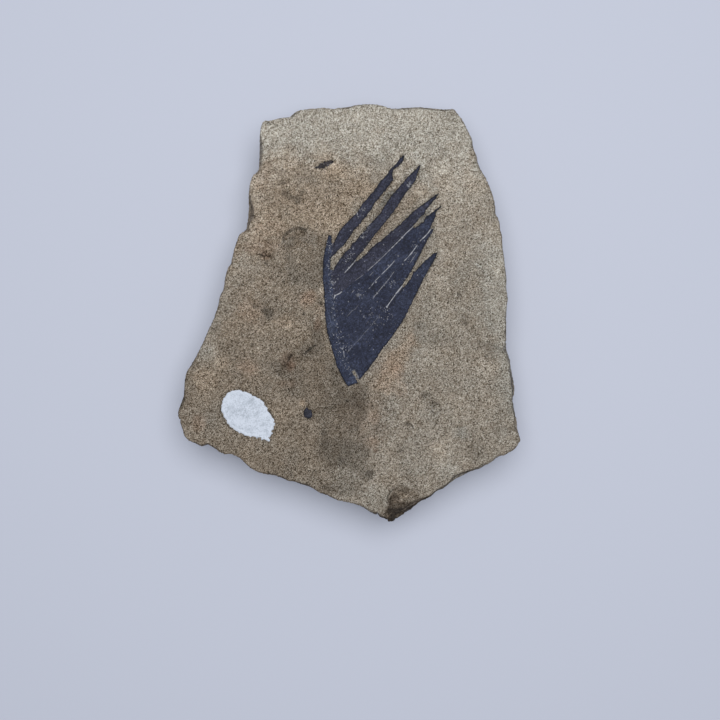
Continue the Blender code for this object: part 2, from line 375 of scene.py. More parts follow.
def new_material(name: str) -> tuple[bpy.types.Material, bpy.types.NodeTree]:
    """Make an empty node material.

    Args:
        name: the material's name.

    Returns:
        The material and its tree.
    """
    mat = bpy.data.materials.new(name)
    mat.use_nodes = True
    mat.node_tree.nodes.clear()
    return mat, mat.node_tree


@dataclass(frozen=True)
class Skin:
    """A surface's roughness and gloss, and the depth and strength of its relief."""

    roughness: float
    specular: float
    relief_mm: float = 0.0
    bump: float = 0.0

    def dress(self, tree: bpy.types.NodeTree, colour: Any, height: Any = None) -> None:
        """Send a Principled shader to the tree's output.

        Args:
            tree: the material's tree.
            colour: the base colour.
            height: the relief's height, or None where the surface is even.
        """
        inputs = {"Base Color": colour, "Roughness": self.roughness, "Specular IOR Level": self.specular}
        if height is not None:
            bump = {"Height": height, "Strength": self.bump, "Distance": self.relief_mm * MM}
            inputs["Normal"] = add_node(tree, "ShaderNodeBump", bump)
        shader = add_node(tree, "ShaderNodeBsdfPrincipled", inputs)
        add_node(tree, "ShaderNodeOutputMaterial", {"Surface": shader})


def read_paint(tree: bpy.types.NodeTree, *names: str) -> dict[str, bpy.types.NodeSocket]:
    """Read painted vertex values.

    Args:
        tree: gets the nodes.
        names: what the values are stored under.

    Returns:
        A socket for each name.
    """
    return {
        name: add_node(tree, "ShaderNodeAttribute", attribute_name=name).outputs["Fac"]
        for name in names
    }


def cloud(tree: bpy.types.NodeTree, place: Any, size_mm: float, detail: float = 2.0) -> bpy.types.Node:
    """Add soft noise with features of a real size.

    Args:
        tree: gets the nodes.
        place: the socket with the place of each point.
        size_mm: the features' width.
        detail: how many finer layers it has.

    Returns:
        The noise, between about -0.3 and 0.3.
    """
    noise_inputs = {"Vector": place, "Scale": 1.0 / (size_mm * MM), "Detail": detail}
    raw = add_node(tree, "ShaderNodeTexNoise", noise_inputs)
    return add_node(tree, MATH, (raw, 0.5), operation="SUBTRACT")


def grains(
    tree: bpy.types.NodeTree, place: Any, size_mm: float
) -> tuple[bpy.types.Node, bpy.types.NodeSocket]:
    """Fill space with grains of a real size.

    Args:
        tree: gets the nodes.
        place: the socket with the place of each point.
        size_mm: the grains' width.

    Returns:
        A tone for each grain, mostly near 0 and never past -1 or 1, and an even number from 0 to 1.
    """
    cells = add_node(tree, "ShaderNodeTexVoronoi", {"Vector": place, "Scale": 1.0 / (size_mm * MM)})
    parts = add_node(tree, "ShaderNodeSeparateColor", (cells.outputs["Color"],))
    pair = add_node(tree, MATH, (parts.outputs[0], parts.outputs[1]), operation="ADD")
    return add_node(tree, MATH, (pair, 1.0), operation="SUBTRACT"), parts.outputs[2]


def add_up(tree: bpy.types.NodeTree, start: Any, parts: Iterable[tuple[Any, Any]]) -> Any:
    """Add up parts onto a start value.

    Args:
        tree: gets the nodes.
        start: what the parts are added to.
        parts: each part with its strength.

    Returns:
        The last node of the sum.
    """
    total = start
    for part, strength in parts:
        total = add_node(tree, MATH, (part, strength, total), operation="MULTIPLY_ADD")
    return total


def layered(tree: bpy.types.NodeTree, base: Any, layers: Iterable[tuple[Any, Any]]) -> Any:
    """Lay colours over a base colour.

    Args:
        tree: gets the nodes.
        base: the colour underneath.
        layers: for each layer, the share from 0 to 1 that it covers, and its colour.

    Returns:
        The socket with the blended colour.
    """
    colour = base
    for share, layer in layers:
        inputs = {0: share, 6: colour, 7: layer}
        colour = add_node(tree, "ShaderNodeMix", inputs, data_type="RGBA").outputs[2]
    return colour


def streak_cover(tree: bpy.types.NodeTree, place: Any) -> bpy.types.Node:
    """Read the painted streaks.

    Args:
        tree: gets the nodes.
        place: the socket with the place of each point.

    Returns:
        The streaks' strength, 0 beside them, with a slightly uneven border.
    """
    uneven_mm, uneven = 0.4, 1.6
    full, gone = 0.6, 1.3
    painted = read_paint(tree, "streak", "streak_side")
    away = add_node(tree, MATH, (painted["streak_side"],), operation="ABSOLUTE")
    away = add_up(tree, away, [(cloud(tree, place, uneven_mm), uneven)])
    fade = {"Value": away, "From Min": full, "From Max": gone, "To Min": 1.0, "To Max": 0.0}
    inside = add_node(tree, "ShaderNodeMapRange", fade)
    return add_node(tree, MATH, (inside, painted["streak"]), operation="MULTIPLY")


# --- finishes ---


@dataclass(frozen=True)
class SplitSandstone:
    """Fine-grained sandstone, split along its bedding.

    Quartz, feldspar and dark rock grains about a fifth of a millimetre wide give it a dull, peppered
    look with no gloss. Iron and damp have stained it in soft patches, and its sides show thin beds.
    """

    clean: str = "#9a958c"
    ochre: str = "#a59583"
    rust: str = "#b08e78"
    grain_mm: float = 0.17
    grain_contrast: float = 1.35
    clean_grains: float = 0.93
    stained_grains: float = 0.25
    coarse_grain_mm: float = 0.36
    coarse_contrast: float = 0.12
    # Dark grains are a little bluer and pale ones a little warmer: a power for red, green and blue.
    grain_hue: tuple[float, float, float] = (0.92, 1.01, 1.12)
    darkest_grain: float = 0.12
    pepper_share: float = 0.05
    pepper_contrast: float = 0.2
    crumb_mm: float = 1.3
    crumb_contrast: float = 0.45
    stained_crumbs: float = 0.45
    rusty_crumbs: float = -0.2
    patch_mm: float = 7.0
    patch_contrast: float = 0.25
    patch_warmth: float = 0.8
    bed_mm: float = 0.7
    bed_stretch: float = 0.04
    bed_contrast: float = 0.7
    crumb_relief: float = 1.2
    grain_relief: float = 0.3
    coarse_relief: float = 0.4
    skin: Skin = Skin(roughness=0.93, specular=0.2, relief_mm=0.06, bump=0.5)

    def build(self) -> bpy.types.Material:
        """Build the material.

        Returns:
            The material, which reads the slab's painted values.
        """
        mat, tree = new_material("split_sandstone")
        place = add_node(tree, "ShaderNodeTexCoord").outputs["Object"]
        painted = read_paint(tree, "shade", "ochre", "rust", "side", "soot", "grain_tone")
        patches = cloud(tree, place, self.patch_mm, 3.0)
        crumbs = cloud(tree, place, self.crumb_mm, 3.0)
        fine, _ = grains(tree, place, self.grain_mm)
        coarse, coarse_lot = grains(tree, place, self.coarse_grain_mm)

        # Stained stone shows its crumbs and its grains more clearly.
        stained = add_up(tree, self.crumb_contrast, [(painted["ochre"], self.stained_crumbs)])
        crust = add_node(tree, MATH, (crumbs, stained), operation="MULTIPLY")
        crust = add_up(tree, crust, [(painted["grain_tone"], 1.0)])
        crust = add_node(tree, MATH, (crust,), operation="EXPONENT")
        uneven = add_up(tree, self.clean_grains, [(painted["ochre"], self.stained_grains)])
        fine = add_node(tree, MATH, (fine, uneven), operation="MULTIPLY")

        # The stone's own colour, then its beds, stains, painted shade and streaks as one broad tone.
        warmth = add_up(tree, painted["ochre"], [(patches, self.patch_warmth)])
        rusty = add_up(tree, painted["rust"], [(crumbs, self.rusty_crumbs)])
        stains = [(warmth, linear(self.ochre)), (rusty, linear(self.rust))]
        earth = layered(tree, linear(self.clean), stains)
        stretch = (self.bed_stretch, self.bed_stretch, 1.0)
        layers = add_node(tree, "ShaderNodeMapping", {"Vector": place, "Scale": stretch})
        beds = cloud(tree, layers, self.bed_mm)
        beds = add_node(tree, MATH, (beds, painted["side"]), operation="MULTIPLY")
        tones = [
            (patches, self.patch_contrast),
            (beds, self.bed_contrast),
            (painted["soot"], -1.0),
            (streak_cover(tree, place), 1.0),
        ]
        broad = add_up(tree, painted["shade"], tones)
        broad = add_node(tree, MATH, (broad,), operation="EXPONENT")

        # The grains, with a few dark ones.
        pepper = add_node(tree, MATH, (coarse_lot, self.pepper_share), operation="LESS_THAN")
        specks = [(fine, self.grain_contrast), (coarse, self.coarse_contrast)]
        speckle = add_up(tree, 1.0, [*specks, (pepper, -self.pepper_contrast)])
        speckle = add_node(tree, MATH, (speckle, self.darkest_grain), operation="MAXIMUM")
        speckle = add_node(tree, MATH, (speckle, crust), operation="MULTIPLY")
        hues = [add_node(tree, MATH, (speckle, power), operation="POWER") for power in self.grain_hue]
        speckle = add_node(tree, "ShaderNodeCombineXYZ", hues)
        colour = add_node(tree, "ShaderNodeVectorMath", (earth, speckle), operation="MULTIPLY")
        scaled = {0: colour, "Scale": broad}
        colour = add_node(tree, "ShaderNodeVectorMath", scaled, operation="SCALE")

        relief = [(crumbs, self.crumb_relief), (fine, self.grain_relief), (coarse, self.coarse_relief)]
        self.skin.dress(tree, colour, add_up(tree, 0.0, relief))
        return mat


@dataclass(frozen=True)
class CoalifiedFilm:
    """A leaf pressed to a film of coal.

    Coal dust on a hard, even skin gives it a blue-black colour and a faint satin sheen. Fine
    parallel veins run along each leaflet, and where it is worn the pale stone dust shows.
    """

    name: str
    coal: str
    bloom: str
    border: str = "#15161e"
    dust: str = "#b0b2ba"
    # How far apart the veins are, and how long one runs before it fades.
    vein_mm: Point = (0.3, 5.0)
    vein_contrast: float = 0.7
    speck_mm: float = 0.2
    speck_contrast: float = 0.85
    mottle_mm: float = 0.8
    mottle_contrast: float = 1.2
    haze_mm: float = 5.0
    haze_contrast: float = 0.8
    # Where the paler bloom lies on the skin.
    bloom_share: float = 0.35
    bloom_haze: float = 2.0
    bloom_mottle: float = 1.0
    # Grains of pale dust: the share that any place holds, their cover and its change.
    dusty_share: float = 0.006
    dusty_cover: float = 0.36
    dusty_change: float = 0.45
    vein_relief: float = 1.5
    speck_relief: float = 0.4
    mottle_relief: float = 0.8
    skin: Skin = Skin(roughness=0.6, specular=0.15, relief_mm=0.03, bump=0.5)

    def build(self) -> bpy.types.Material:
        """Build the material.

        Returns:
            The material, which reads the film's painted values.
        """
        mat, tree = new_material(self.name)
        place = add_node(tree, "ShaderNodeTexCoord").outputs["Object"]
        painted = read_paint(tree, "worn", "dust", "border", "along", "across")
        across, along = (
            add_node(tree, MATH, (painted[way], size), operation="DIVIDE")
            for way, size in zip(("across", "along"), self.vein_mm)
        )
        vein_place = add_node(tree, "ShaderNodeCombineXYZ", (across, along))
        # The veins' places are divided by their sizes already, so this noise is one unit wide.
        veins = cloud(tree, vein_place, 1.0 / MM, 1.0)
        specks, lot = grains(tree, place, self.speck_mm)
        mottle = cloud(tree, place, self.mottle_mm)
        haze = cloud(tree, place, self.haze_mm)

        tones = [
            (veins, self.vein_contrast),
            (specks, self.speck_contrast),
            (mottle, self.mottle_contrast),
            (haze, self.haze_contrast),
        ]
        tone = add_up(tree, 0.0, tones)
        tone = add_node(tree, MATH, (tone,), operation="EXPONENT")
        bloom = add_up(tree, self.bloom_share, [(haze, self.bloom_haze), (mottle, self.bloom_mottle)])
        coats = [(bloom, linear(self.bloom)), (painted["border"], linear(self.border))]
        coal = layered(tree, linear(self.coal), coats)
        coal = add_node(tree, "ShaderNodeVectorMath", {0: coal, "Scale": tone}, operation="SCALE")

        share = add_node(tree, MATH, (painted["dust"], self.dusty_share), operation="ADD")
        caught = add_node(tree, MATH, (lot, share), operation="LESS_THAN")
        dust = add_up(tree, self.dusty_cover, [(specks, self.dusty_change)])
        dust = add_node(tree, MATH, (dust, caught), operation="MULTIPLY")
        worn = painted["worn"]
        for cover in (dust, streak_cover(tree, place)):
            worn = add_node(tree, MATH, (worn, cover), operation="MAXIMUM")

        relief = [(veins, self.vein_relief), (specks, self.speck_relief), (mottle, self.mottle_relief)]
        colour = layered(tree, coal, [(worn, linear(self.dust))])
        self.skin.dress(tree, colour, add_up(tree, 0.0, relief))
        return mat


@dataclass(frozen=True)
class MattPaint:
    """White correction paint, dabbed on with a small brush.

    Chalky and matt, a little bluish, with low brush ridges and pits where grains stand through it.
    """

    white: str = "#d4dded"
    thin: str = "#9ba5b3"
    brush_mm: float = 0.9
    brush_turn: float = 38.0
    brush_stretch: float = 0.35
    brush_cover: float = 0.7
    pit_mm: float = 0.32
    pit_cover: float = 1.8
    pit_relief: float = 0.6
    skin: Skin = Skin(roughness=0.75, specular=0.3, relief_mm=0.06, bump=0.6)

    def build(self) -> bpy.types.Material:
        """Build the material.

        Returns:
            The material, which reads the patch's painted values.
        """
        mat, tree = new_material("matt_white_paint")
        place = add_node(tree, "ShaderNodeTexCoord").outputs["Object"]
        turn = (0.0, 0.0, math.radians(self.brush_turn))
        turned = {"Vector": place, "Rotation": turn, "Scale": (self.brush_stretch, 1.0, 1.0)}
        brush = cloud(tree, add_node(tree, "ShaderNodeMapping", turned), self.brush_mm, 3.0)
        pits = cloud(tree, place, self.pit_mm)
        worn = read_paint(tree, "worn")["worn"]
        thin = add_up(tree, worn, [(pits, self.pit_cover), (brush, self.brush_cover)])
        colour = layered(tree, linear(self.white), [(thin, linear(self.thin))])
        self.skin.dress(tree, colour, add_up(tree, brush, [(pits, self.pit_relief)]))
        return mat


@dataclass(frozen=True)
class StudioPaper:
    """Pale, faintly blue backing paper with no gloss."""

    colour: str = "#c9cfe1"
    skin: Skin = Skin(roughness=0.95, specular=0.0)

    def build(self) -> bpy.types.Material:
        """Build the material.

        Returns:
            The material.
        """
        mat, tree = new_material("studio_paper")
        self.skin.dress(tree, linear(self.colour))
        return mat


# --- the studio ---


@dataclass
class Studio:
    """The floor, the lights and the camera."""

    camera_place: tuple[float, float, float] = (2.6, -10.6, 220.0)
    lens: float = 42.8
    sensor: float = 36.0
    nearest_mm: float = 10.0
    floor_half_mm: float = 900.0
    lamp_place: tuple[float, float, float] = (25.0, 85.0, 580.0)
    lamp_size_mm: float = 620.0
    lamp_watts: float = 3.57
    lamp_colour: str = "#fffdf8"
    sky_colour: str = "#e4ebf7"
    sky_strength: float = 0.18

    def build_floor(self) -> None:
        """Lay the floor just under the plate."""
        half = self.floor_half_mm * MM
        corners = [(-half, -half, 0.0), (half, -half, 0.0), (half, half, 0.0), (-half, half, 0.0)]
        mesh = bpy.data.meshes.new("floor")
        mesh.from_pydata(corners, [], [(0, 1, 2, 3)])
        mesh.materials.append(StudioPaper().build())
        floor = new_object("floor", mesh)

    def build_lights(self) -> None:
        """Hang one large soft lamp above the top edge, and fill the rest from a pale sky."""
        lamp = bpy.data.lights.new("soft_lamp", "AREA")
        lamp.shape = "DISK"
        lamp.size = self.lamp_size_mm * MM
        lamp.energy = self.lamp_watts
        lamp.color = linear(self.lamp_colour)[:3]
        holder = bpy.data.objects.new("soft_lamp", lamp)
        holder.location = Vector(self.lamp_place) * MM
        holder.rotation_mode = "QUATERNION"
        holder.rotation_quaternion = (-holder.location).to_track_quat("-Z", "Y")
        bpy.context.scene.collection.objects.link(holder)

        world = bpy.data.worlds.new("studio")
        world.use_nodes = True
        sky = world.node_tree.nodes["Background"]
        sky.inputs["Color"].default_value = linear(self.sky_colour)
        sky.inputs["Strength"].default_value = self.sky_strength
        bpy.context.scene.world = world

    def build_camera(self) -> None:
        """Set the camera straight above the plate, looking down."""
        data = bpy.data.cameras.new("camera")
        data.sensor_width = self.sensor
        data.lens = self.lens
        data.clip_start = self.nearest_mm * MM
        camera = bpy.data.objects.new("camera", data)
        camera.location = Vector(self.camera_place) * MM
        bpy.context.scene.collection.objects.link(camera)
        bpy.context.scene.camera = camera
        bpy.context.scene.view_settings.view_transform = "Standard"

    def build(self) -> None:
        """Build the whole studio."""
        self.build_floor()
        self.build_lights()
        self.build_camera()
        LOG.info("studio: floor, lamp, sky and camera")


# --- stains, painted shade and marks in the stone ---


@dataclass(frozen=True)
class Tint:
    """How a stain or painted shade changes the stone: natural log of its brightness, and its warmth and
    redness.
    """

    shade: float = 0.0
    ochre: float = 0.0
    rust: float = 0.0


# A blot's border, in shares of its half-lengths, and how ragged it is.
BLOT_BORDER, BLOT_RAGGED = (0.35, 1.25), 0.25


@dataclass(frozen=True)
class Blot:
    """An oval stain or patch of painted shade: middle, half-lengths and turn, with a ragged, soft border.
    """

    middle: Point
    reach: Point
    tint: Tint
    turn: float = 0.0

    def cover(self, points: np.ndarray, ragged: np.ndarray) -> np.ndarray:
        """Measure how much of the mark lies on each point.

        Args:
            points: (n, 2) places.
            ragged: a smooth random number for each point, for an uneven border.

        Returns:
            A share from 0 to 1 for each point.
        """
        angle = math.radians(self.turn)
        away = points - np.array(self.middle)
        along = (away[:, 0] * math.cos(angle) + away[:, 1] * math.sin(angle)) / self.reach[0]
        aside = (away[:, 1] * math.cos(angle) - away[:, 0] * math.sin(angle)) / self.reach[1]
        return 1.0 - smoothstep(*BLOT_BORDER, np.hypot(along, aside) + BLOT_RAGGED * ragged)


@dataclass(frozen=True)
class Wash:
    """A stain or painted shade with an outline of its own, and a border that fades over a given width."""

    outline: Line
    tint: Tint
    fade: float

    def cover(self, points: np.ndarray, ragged: np.ndarray) -> np.ndarray:
        """Measure how much of the mark lies on each point, as Blot.cover does."""
        inside = border_distance(points, np.array(self.outline)) + 0.5 * self.fade * ragged
        return smoothstep(-0.5 * self.fade, 0.5 * self.fade, inside)


STAINS_AND_SHADE: tuple[Blot | Wash, ...] = (
    # Broad tones: pale top end, ochre shoulder, brown left half, pale left and right edges.
    Wash(
        ((-30, 60), (35, 60), (31.3, 38), (19.4, 35.1), (10.3, 36.7), (-1, 37.1), (-11.8, 36.7),
         (-30, 33.1)),
        Tint(0.42, -0.32), 15,
    ),
    Wash(
        ((-30, 28), (-20.9, 33), (-11.8, 34), (0.2, 33.5), (9.3, 32), (2.6, 25.7), (-4.6, 18.1),
         (-15.8, 19.1), (-30, 12.9)),
        Tint(-0.14, 0.62), 8,
    ),
    Wash(
        ((-30, 18.1), (-5.8, 18.1), (-4.6, -5.8), (0.2, -16.6), (-4.6, -48), (-23.7, -46), (-50, -36),
         (-50, -15.4), (-36, 3.8)),
        Tint(-0.26, 0.42), 4,
    ),
    Wash(((15, 36), (31.3, 39.7), (40, 18), (36, 14), (22, 16), (16, 26)), Tint(0.12), 8),
    Wash(
        ((-22, 46), (-18, 44), (-19.5, 33), (-20.5, 24), (-24, 15), (-27, 6), (-31, -5), (-36, -5),
         (-34, 10), (-30, 22), (-27, 33)),
        Tint(0.22, -0.3), 4,
    ),
    Wash(
        ((33, 17.7), (41, 17.7), (41, -24), (37.9, -24), (34.9, -7), (32.9, 3.8), (31.8, 12.9)),
        Tint(0.2, -0.35), 4,
    ),
    # Damp and iron beside and below the leaf.
    Wash(
        ((-15.6, 17.4), (-15.1, 19.8), (-11.8, 21.2), (-8.4, 20.3), (-5.5, 18.6), (-5, 7.4), (-7.5, 5.7),
         (-10.8, 8.1), (-14.2, 7.4), (-15.1, 12.9)),
        Tint(-0.2, -0.15), 1.6,
    ),
    Wash(
        ((-7.5, -3.4), (-1, -17.3), (2.6, -15.4), (4.3, -16.8), (4.3, -24.5), (1.9, -27.4), (5.5, -31.7),
         (3.3, -36.5), (-5.1, -36), (-8.9, -32.6), (-6.5, -26.2), (-11.3, -20.2), (-15.4, -18.3),
         (-17.8, -11.8), (-11.8, -7)),
        Tint(-0.22), 1.6,
    ),
    Wash(
        ((15.1, -3.4), (16, -7), (11.7, -14.2), (9.3, -19), (5.5, -16.6), (8.6, -10.6)),
        Tint(0, 0.42, 0.12), 2.5,
    ),
    # The broken corner. Its deep hollow is iron-stained brown and also darkened with painted shade.
    Wash(
        ((8.2, -50.5), (8.3, -48), (8.6, -47), (9.4, -45.6), (9.2, -44.4), (10.1, -42.9), (10.9, -42.4),
         (11.9, -43), (12.4, -44.4), (13.7, -45.1), (15.4, -44.5), (17.2, -43.8), (19.2, -43.2),
         (21.5, -41.9), (21.5, -44), (13.4, -52), (9.3, -52)),
        Tint(-1.35, 0.5, 0.15), 0.4,
    ),
    Wash(
        ((9.6, -42.9), (10.9, -41.3), (12.6, -40.6), (14.4, -41.2), (15.7, -42.3), (17, -43.4),
         (16.2, -44.2), (14.2, -44.9), (12.6, -44.3), (12, -42.9), (10.9, -42.3)),
        Tint(-0.34, 0.35), 0.7,
    ),
    Blot((11.2, -44.6), (1, 0.7), Tint(0.55)),
    Blot((12.4, -44.7), (0.5, 0.4), Tint(0.7, -0.1)),
    Blot((11.4, -46.4), (0.9, 0.5), Tint(0.4), 35),
    Blot((14.6, -42.4), (4, 1.6), Tint(-0.16, 0.2), 10),
    Blot((13, -42), (1.6, 0.4), Tint(-0.4, 0.1), -15),
    Blot((13.6, -43.4), (1.1, 0.4), Tint(0.45, -0.1), 25),
    Blot((11.9, -41.5), (0.9, 0.4), Tint(0.4, -0.1), 35),
    Blot((16.2, -40.6), (0.4, 0.9), Tint(-0.35, 0.1), -20),
    # Small pits and specks.
    Blot((-19.3, 46.2), (0.5, 0.3), Tint(-1.1), -20),
    Blot((7.6, 36), (1, 1.2), Tint(-0.2)),
    Blot((1.4, 43.3), (0.5, 0.4), Tint(-0.35)),
    Blot((-6.6, 6.5), (0.5, 1.3), Tint(0.75, -0.2)),
    Blot((-6.8, 3), (0.5, 0.7), Tint(-1.2)),
    # Small dark patches with a clear border.
    Wash(
        ((-16.1, 30.1), (-14.4, 30.1), (-14.1, 28.7), (-12.2, 29.2), (-11.8, 30.1), (-10.7, 30.1),
         (-11, 28.4), (-11.3, 26.9), (-12.5, 26.7), (-13.2, 28), (-15.6, 28.4), (-16.4, 29.4)),
        Tint(-0.5, -0.15), 0.9,
    ),
    Wash(
        ((-21.6, 1.9), (-20.4, 1.5), (-19.4, 1.7), (-18.1, 0.7), (-18.5, -0.4), (-19.2, -0.9),
         (-19.9, 0.1), (-21.2, 0.8)),
        Tint(-0.5, -0.15), 0.6,
    ),
    Wash(
        ((-2, -17.3), (1, -18.6), (3.1, -19.2), (5, -20.4), (5.1, -23.1), (4, -24.5), (2.6, -26.8),
         (0.5, -27.8), (-2, -25), (-5, -22)),
        Tint(-0.14), 0.7,
    ),
    Wash(
        ((-6.7, -29.8), (-4.6, -29.3), (0.2, -29.8), (3.1, -31), (5.5, -32.2), (4, -34.1), (0.7, -35),
         (-2.7, -36), (-4.6, -37.4), (-7, -37), (-7.9, -35), (-8.2, -32.6)),
        Tint(-0.12), 0.8,
    ),
    Blot((-14.3, 16.6), (1.2, 0.7), Tint(-0.33)),
    Blot((-21, 14.4), (0.5, 0.6), Tint(-0.9)),
    Blot((-20.1, 15.1), (0.6, 0.3), Tint(-0.75)),
    Blot((-19.1, 14.3), (0.5, 0.4), Tint(-0.83)),
    Blot((-19.9, 13.3), (0.6, 0.3), Tint(-0.6)),
    Blot((-16.1, 32.1), (1.2, 0.5), Tint(-0.42)),
    Blot((-16.1, 23.4), (0.4, 0.4), Tint(-0.6)),
    Blot((-22.7, 24), (0.8, 1), Tint(-0.27)),
    Blot((-23.5, 8.3), (1, 1), Tint(-0.27)),
    Blot((-15.7, 8.4), (0.4, 0.4), Tint(-0.6)),
    Blot((-22.5, 2.3), (1.3, 0.6), Tint(-0.55), -25),
    Blot((-20, 14.2), (1.5, 1.1), Tint(-0.1, 0.2, 0.4)),
    Blot((-14, -12), (1.4, 1.2), Tint(-0.1, 0.1, 0.4)),
    Blot((-7.6, -2.4), (0.9, 1.9), Tint(-0.15, 0.1, 0.4)),
    Blot((-12.4, 18.6), (2.6, 1.5), Tint(-0.14, 0.1)),
    Blot((-10.8, 0.4), (0.4, 0.4), Tint(-0.83)),
    Blot((-9.4, -8.2), (0.8, 0.4), Tint(-0.75), 35),
    Blot((-14.4, -9.7), (0.9, 0.6), Tint(-0.52)),
    Blot((-15, -11.8), (1, 0.8), Tint(-0.52)),
    Blot((-17.1, -8), (0.35, 0.35), Tint(-0.68)),
    Blot((-23.2, -7), (0.8, 0.6), Tint(-0.33)),
    Blot((-6.1, -27.9), (0.7, 1.1), Tint(-0.48)),
    Blot((-0.4, -20.4), (0.7, 0.4), Tint(-0.42)),
    Blot((1.9, -26.8), (0.8, 0.8), Tint(-0.38)),
    Blot((4.7, -37.9), (0.9, 0.9), Tint(-0.42)),
    Blot((6.4, -32.3), (0.7, 0.5), Tint(-0.48, 0.1, 0.3)),
    Blot((12.4, -32.3), (0.8, 0.6), Tint(-0.42)),
    Blot((-13.8, -38), (0.5, 1), Tint(-0.42)),
    Blot((-5.6, -41.1), (1.2, 0.8), Tint(-0.3)),
    Blot((26.3, 5), (0.5, 0.8), Tint(-0.68)),
    Blot((28, -1.9), (1, 0.6), Tint(-0.48)),
    Blot((17, -2.2), (2.2, 0.9), Tint(-0.21)),
    Blot((18.2, -18.9), (1.2, 1), Tint(-0.45)),
    Blot((21.2, -17.7), (0.5, 0.3), Tint(-0.68)),
    Blot((14, -25.9), (0.5, 0.7), Tint(-0.75)),
    Blot((12.8, -14), (1.1, 0.6), Tint(-0.42)),
    Blot((32.8, -9.6), (0.6, 0.4), Tint(-0.68)),
    # Small pale crumbs.
    Blot((-12.2, 13.1), (0.5, 1.1), Tint(0.5, -0.2)),
    Blot((-12.7, 15.2), (0.9, 0.5), Tint(0.35, -0.1)),
    Blot((-12.1, 13.3), (0.7, 0.9), Tint(0.3)),
    Blot((-17.3, 16.7), (0.5, 0.4), Tint(0.5)),
    Blot((-20.6, 11.6), (0.6, 0.8), Tint(0.2)),
    Blot((-14.2, -2.2), (0.5, 0.5), Tint(0.3, 0.4)),
    Blot((8, -32), (0.3, 0.3), Tint(0.6)),
    Blot((-1.2, -33.4), (0.3, 0.3), Tint(0.6)),
    Blot((-0.8, -37.4), (1.3, 1.3), Tint(0.16)),
    Blot((1.6, -29), (1.1, 0.7), Tint(0.18)),
    Blot((4.2, -25.6), (1, 0.6), Tint(0.14)),
    Blot((38.5, -35), (0.8, 0.6), Tint(0.25)),
    Blot((18.4, -41.2), (0.7, 0.6), Tint(0.5, -0.3)),
    # Small patches of the top end.
    Blot((8, 48.5), (16, 3), Tint(0.04, -0.25)),
    Blot((7.4, 39.7), (3.5, 2.5), Tint(0.12)),
    Blot((-21, 40), (2.5, 4), Tint(-0.22, 0.2)),
    Blot((0.7, 44.9), (5.3, 4.1), Tint(0.1, -0.2)),
    Blot((16.5, 47.3), (3.8, 2.2), Tint(0.06, -0.1)),
    Blot((21.8, 44.5), (3.1, 3.8), Tint(0, -0.2)),
    Blot((24.1, 48.1), (2.4, 1.4), Tint(-0.2, -0.1)),
    Blot((-19.4, 44.5), (1.9, 2.4), Tint(0.02, -0.2)),
    # The ochre shoulder.
    Blot((-16.5, 36.5), (7, 4.5), Tint(0, 0.4)),
    Blot((-2.2, 34.9), (4, 2.5), Tint(0, 0.35)),
    Blot((0, 20.5), (3.5, 3), Tint(-0.06, 0.3)),
    Blot((8.5, 21.5), (2.2, 4), Tint(-0.22, 0.15), -35),
    Blot((13, 26), (2.6, 3.6), Tint(-0.12, 0.35), -35),
    Blot((17, 30), (2.6, 2.6), Tint(0.06, 0.3)),
    Blot((-11.8, 34.4), (3.8, 1.9), Tint(-0.12, 0.1), -20),
    Blot((-3.4, 24.1), (3.4, 5.3), Tint(0.1, 0.25), -30),
    Blot((-11.8, 24.1), (4.3, 2.9), Tint(0.06, 0.1)),
    Blot((-22.5, 31.3), (2.9, 2.9), Tint(0.08, 0.1)),
    Blot((-19.4, 21), (4.8, 2.2), Tint(0.1, 0, 0.1), 10),
    # Left of the leaf.
    Blot((-24, 13.5), (4.5, 6.5), Tint(0.2, -0.25)),
    Blot((-11.8, 15.7), (2.2, 1.8), Tint(0.15)),
    Blot((-33.5, -9.5), (5, 3.2), Tint(0.18, -0.28), 40),
    Blot((-31, -27), (4, 9), Tint(0, -0.2)),
    Blot((-16.5, -13), (2.4, 1.8), Tint(-0.18)),
    Blot((-16.5, -37), (2.6, 1.8), Tint(-0.18)),
    Blot((-20.9, 16.5), (4.8, 2.2), Tint(-0.1, 0, 0.2)),
    Blot((-9.9, 4.2), (2.2, 2.4), Tint(0.12, 0.2, 0.35)),
    Blot((-12.2, 19.1), (3.8, 1.4), Tint(-0.12), 8),
    Blot((-20.9, 2.1), (3.1, 1.2), Tint(-0.12), -25),
    Blot((-7.5, -3.7), (1.9, 2.6), Tint(-0.3)),
    Blot((-8.9, -8.2), (6.2, 1.9), Tint(-0.18), 25),
    Blot((-14.6, -10.8), (2.2, 2.4), Tint(-0.24, 0.1, 0.3)),
    Blot((-14.6, -16.4), (2.4, 1.2), Tint(-0.14, 0.1, 0.2)),
    Blot((-31.9, -3.4), (1.7, 2.2), Tint(-0.25)),
    Blot((-34, -7), (2.9, 2.9), Tint(0.24, -0.35), 30),
    Blot((-35, -15.4), (3.4, 3.1), Tint(0.16, 0.4)),
    Blot((-30.4, -11.1), (1.9, 1.9), Tint(0.14, 0.1)),
    Blot((-39.1, -19.7), (1.4, 1.7), Tint(-0.25)),
    Blot((-36.2, -25.7), (2.2, 2.2), Tint(0, 0.1, 0.25)),
    Blot((-29, -8.2), (2.4, 3.4), Tint(-0.2)),
    Blot((-24.2, -12.3), (2.9, 2.2), Tint(0.02, 0.1, 0.25)),
    Blot((-23.7, 1.4), (3.4, 3.4), Tint(0.12, 0.1, 0.15)),
    Blot((-15.4, -1.5), (1.9, 1.9), Tint(0.12, 0.2)),
    Blot((-11.8, -25), (4.8, 5.3), Tint(-0.06)),
    # Below the leaf.
    Blot((3.5, -24.5), (6, 8.5), Tint(-0.1, 0.25, 0.1)),
    Blot((7.4, -27.4), (2.6, 2.2), Tint(-0.14)),
    Blot((-7, -31.5), (3, 3.2), Tint(-0.14)),
    Blot((-2.2, -41.5), (3.6, 2.2), Tint(-0.28)),
    Blot((2.4, -41.8), (2.2, 2), Tint(-0.18)),
    Blot((-1, -21.4), (3.8, 3.8), Tint(-0.1)),
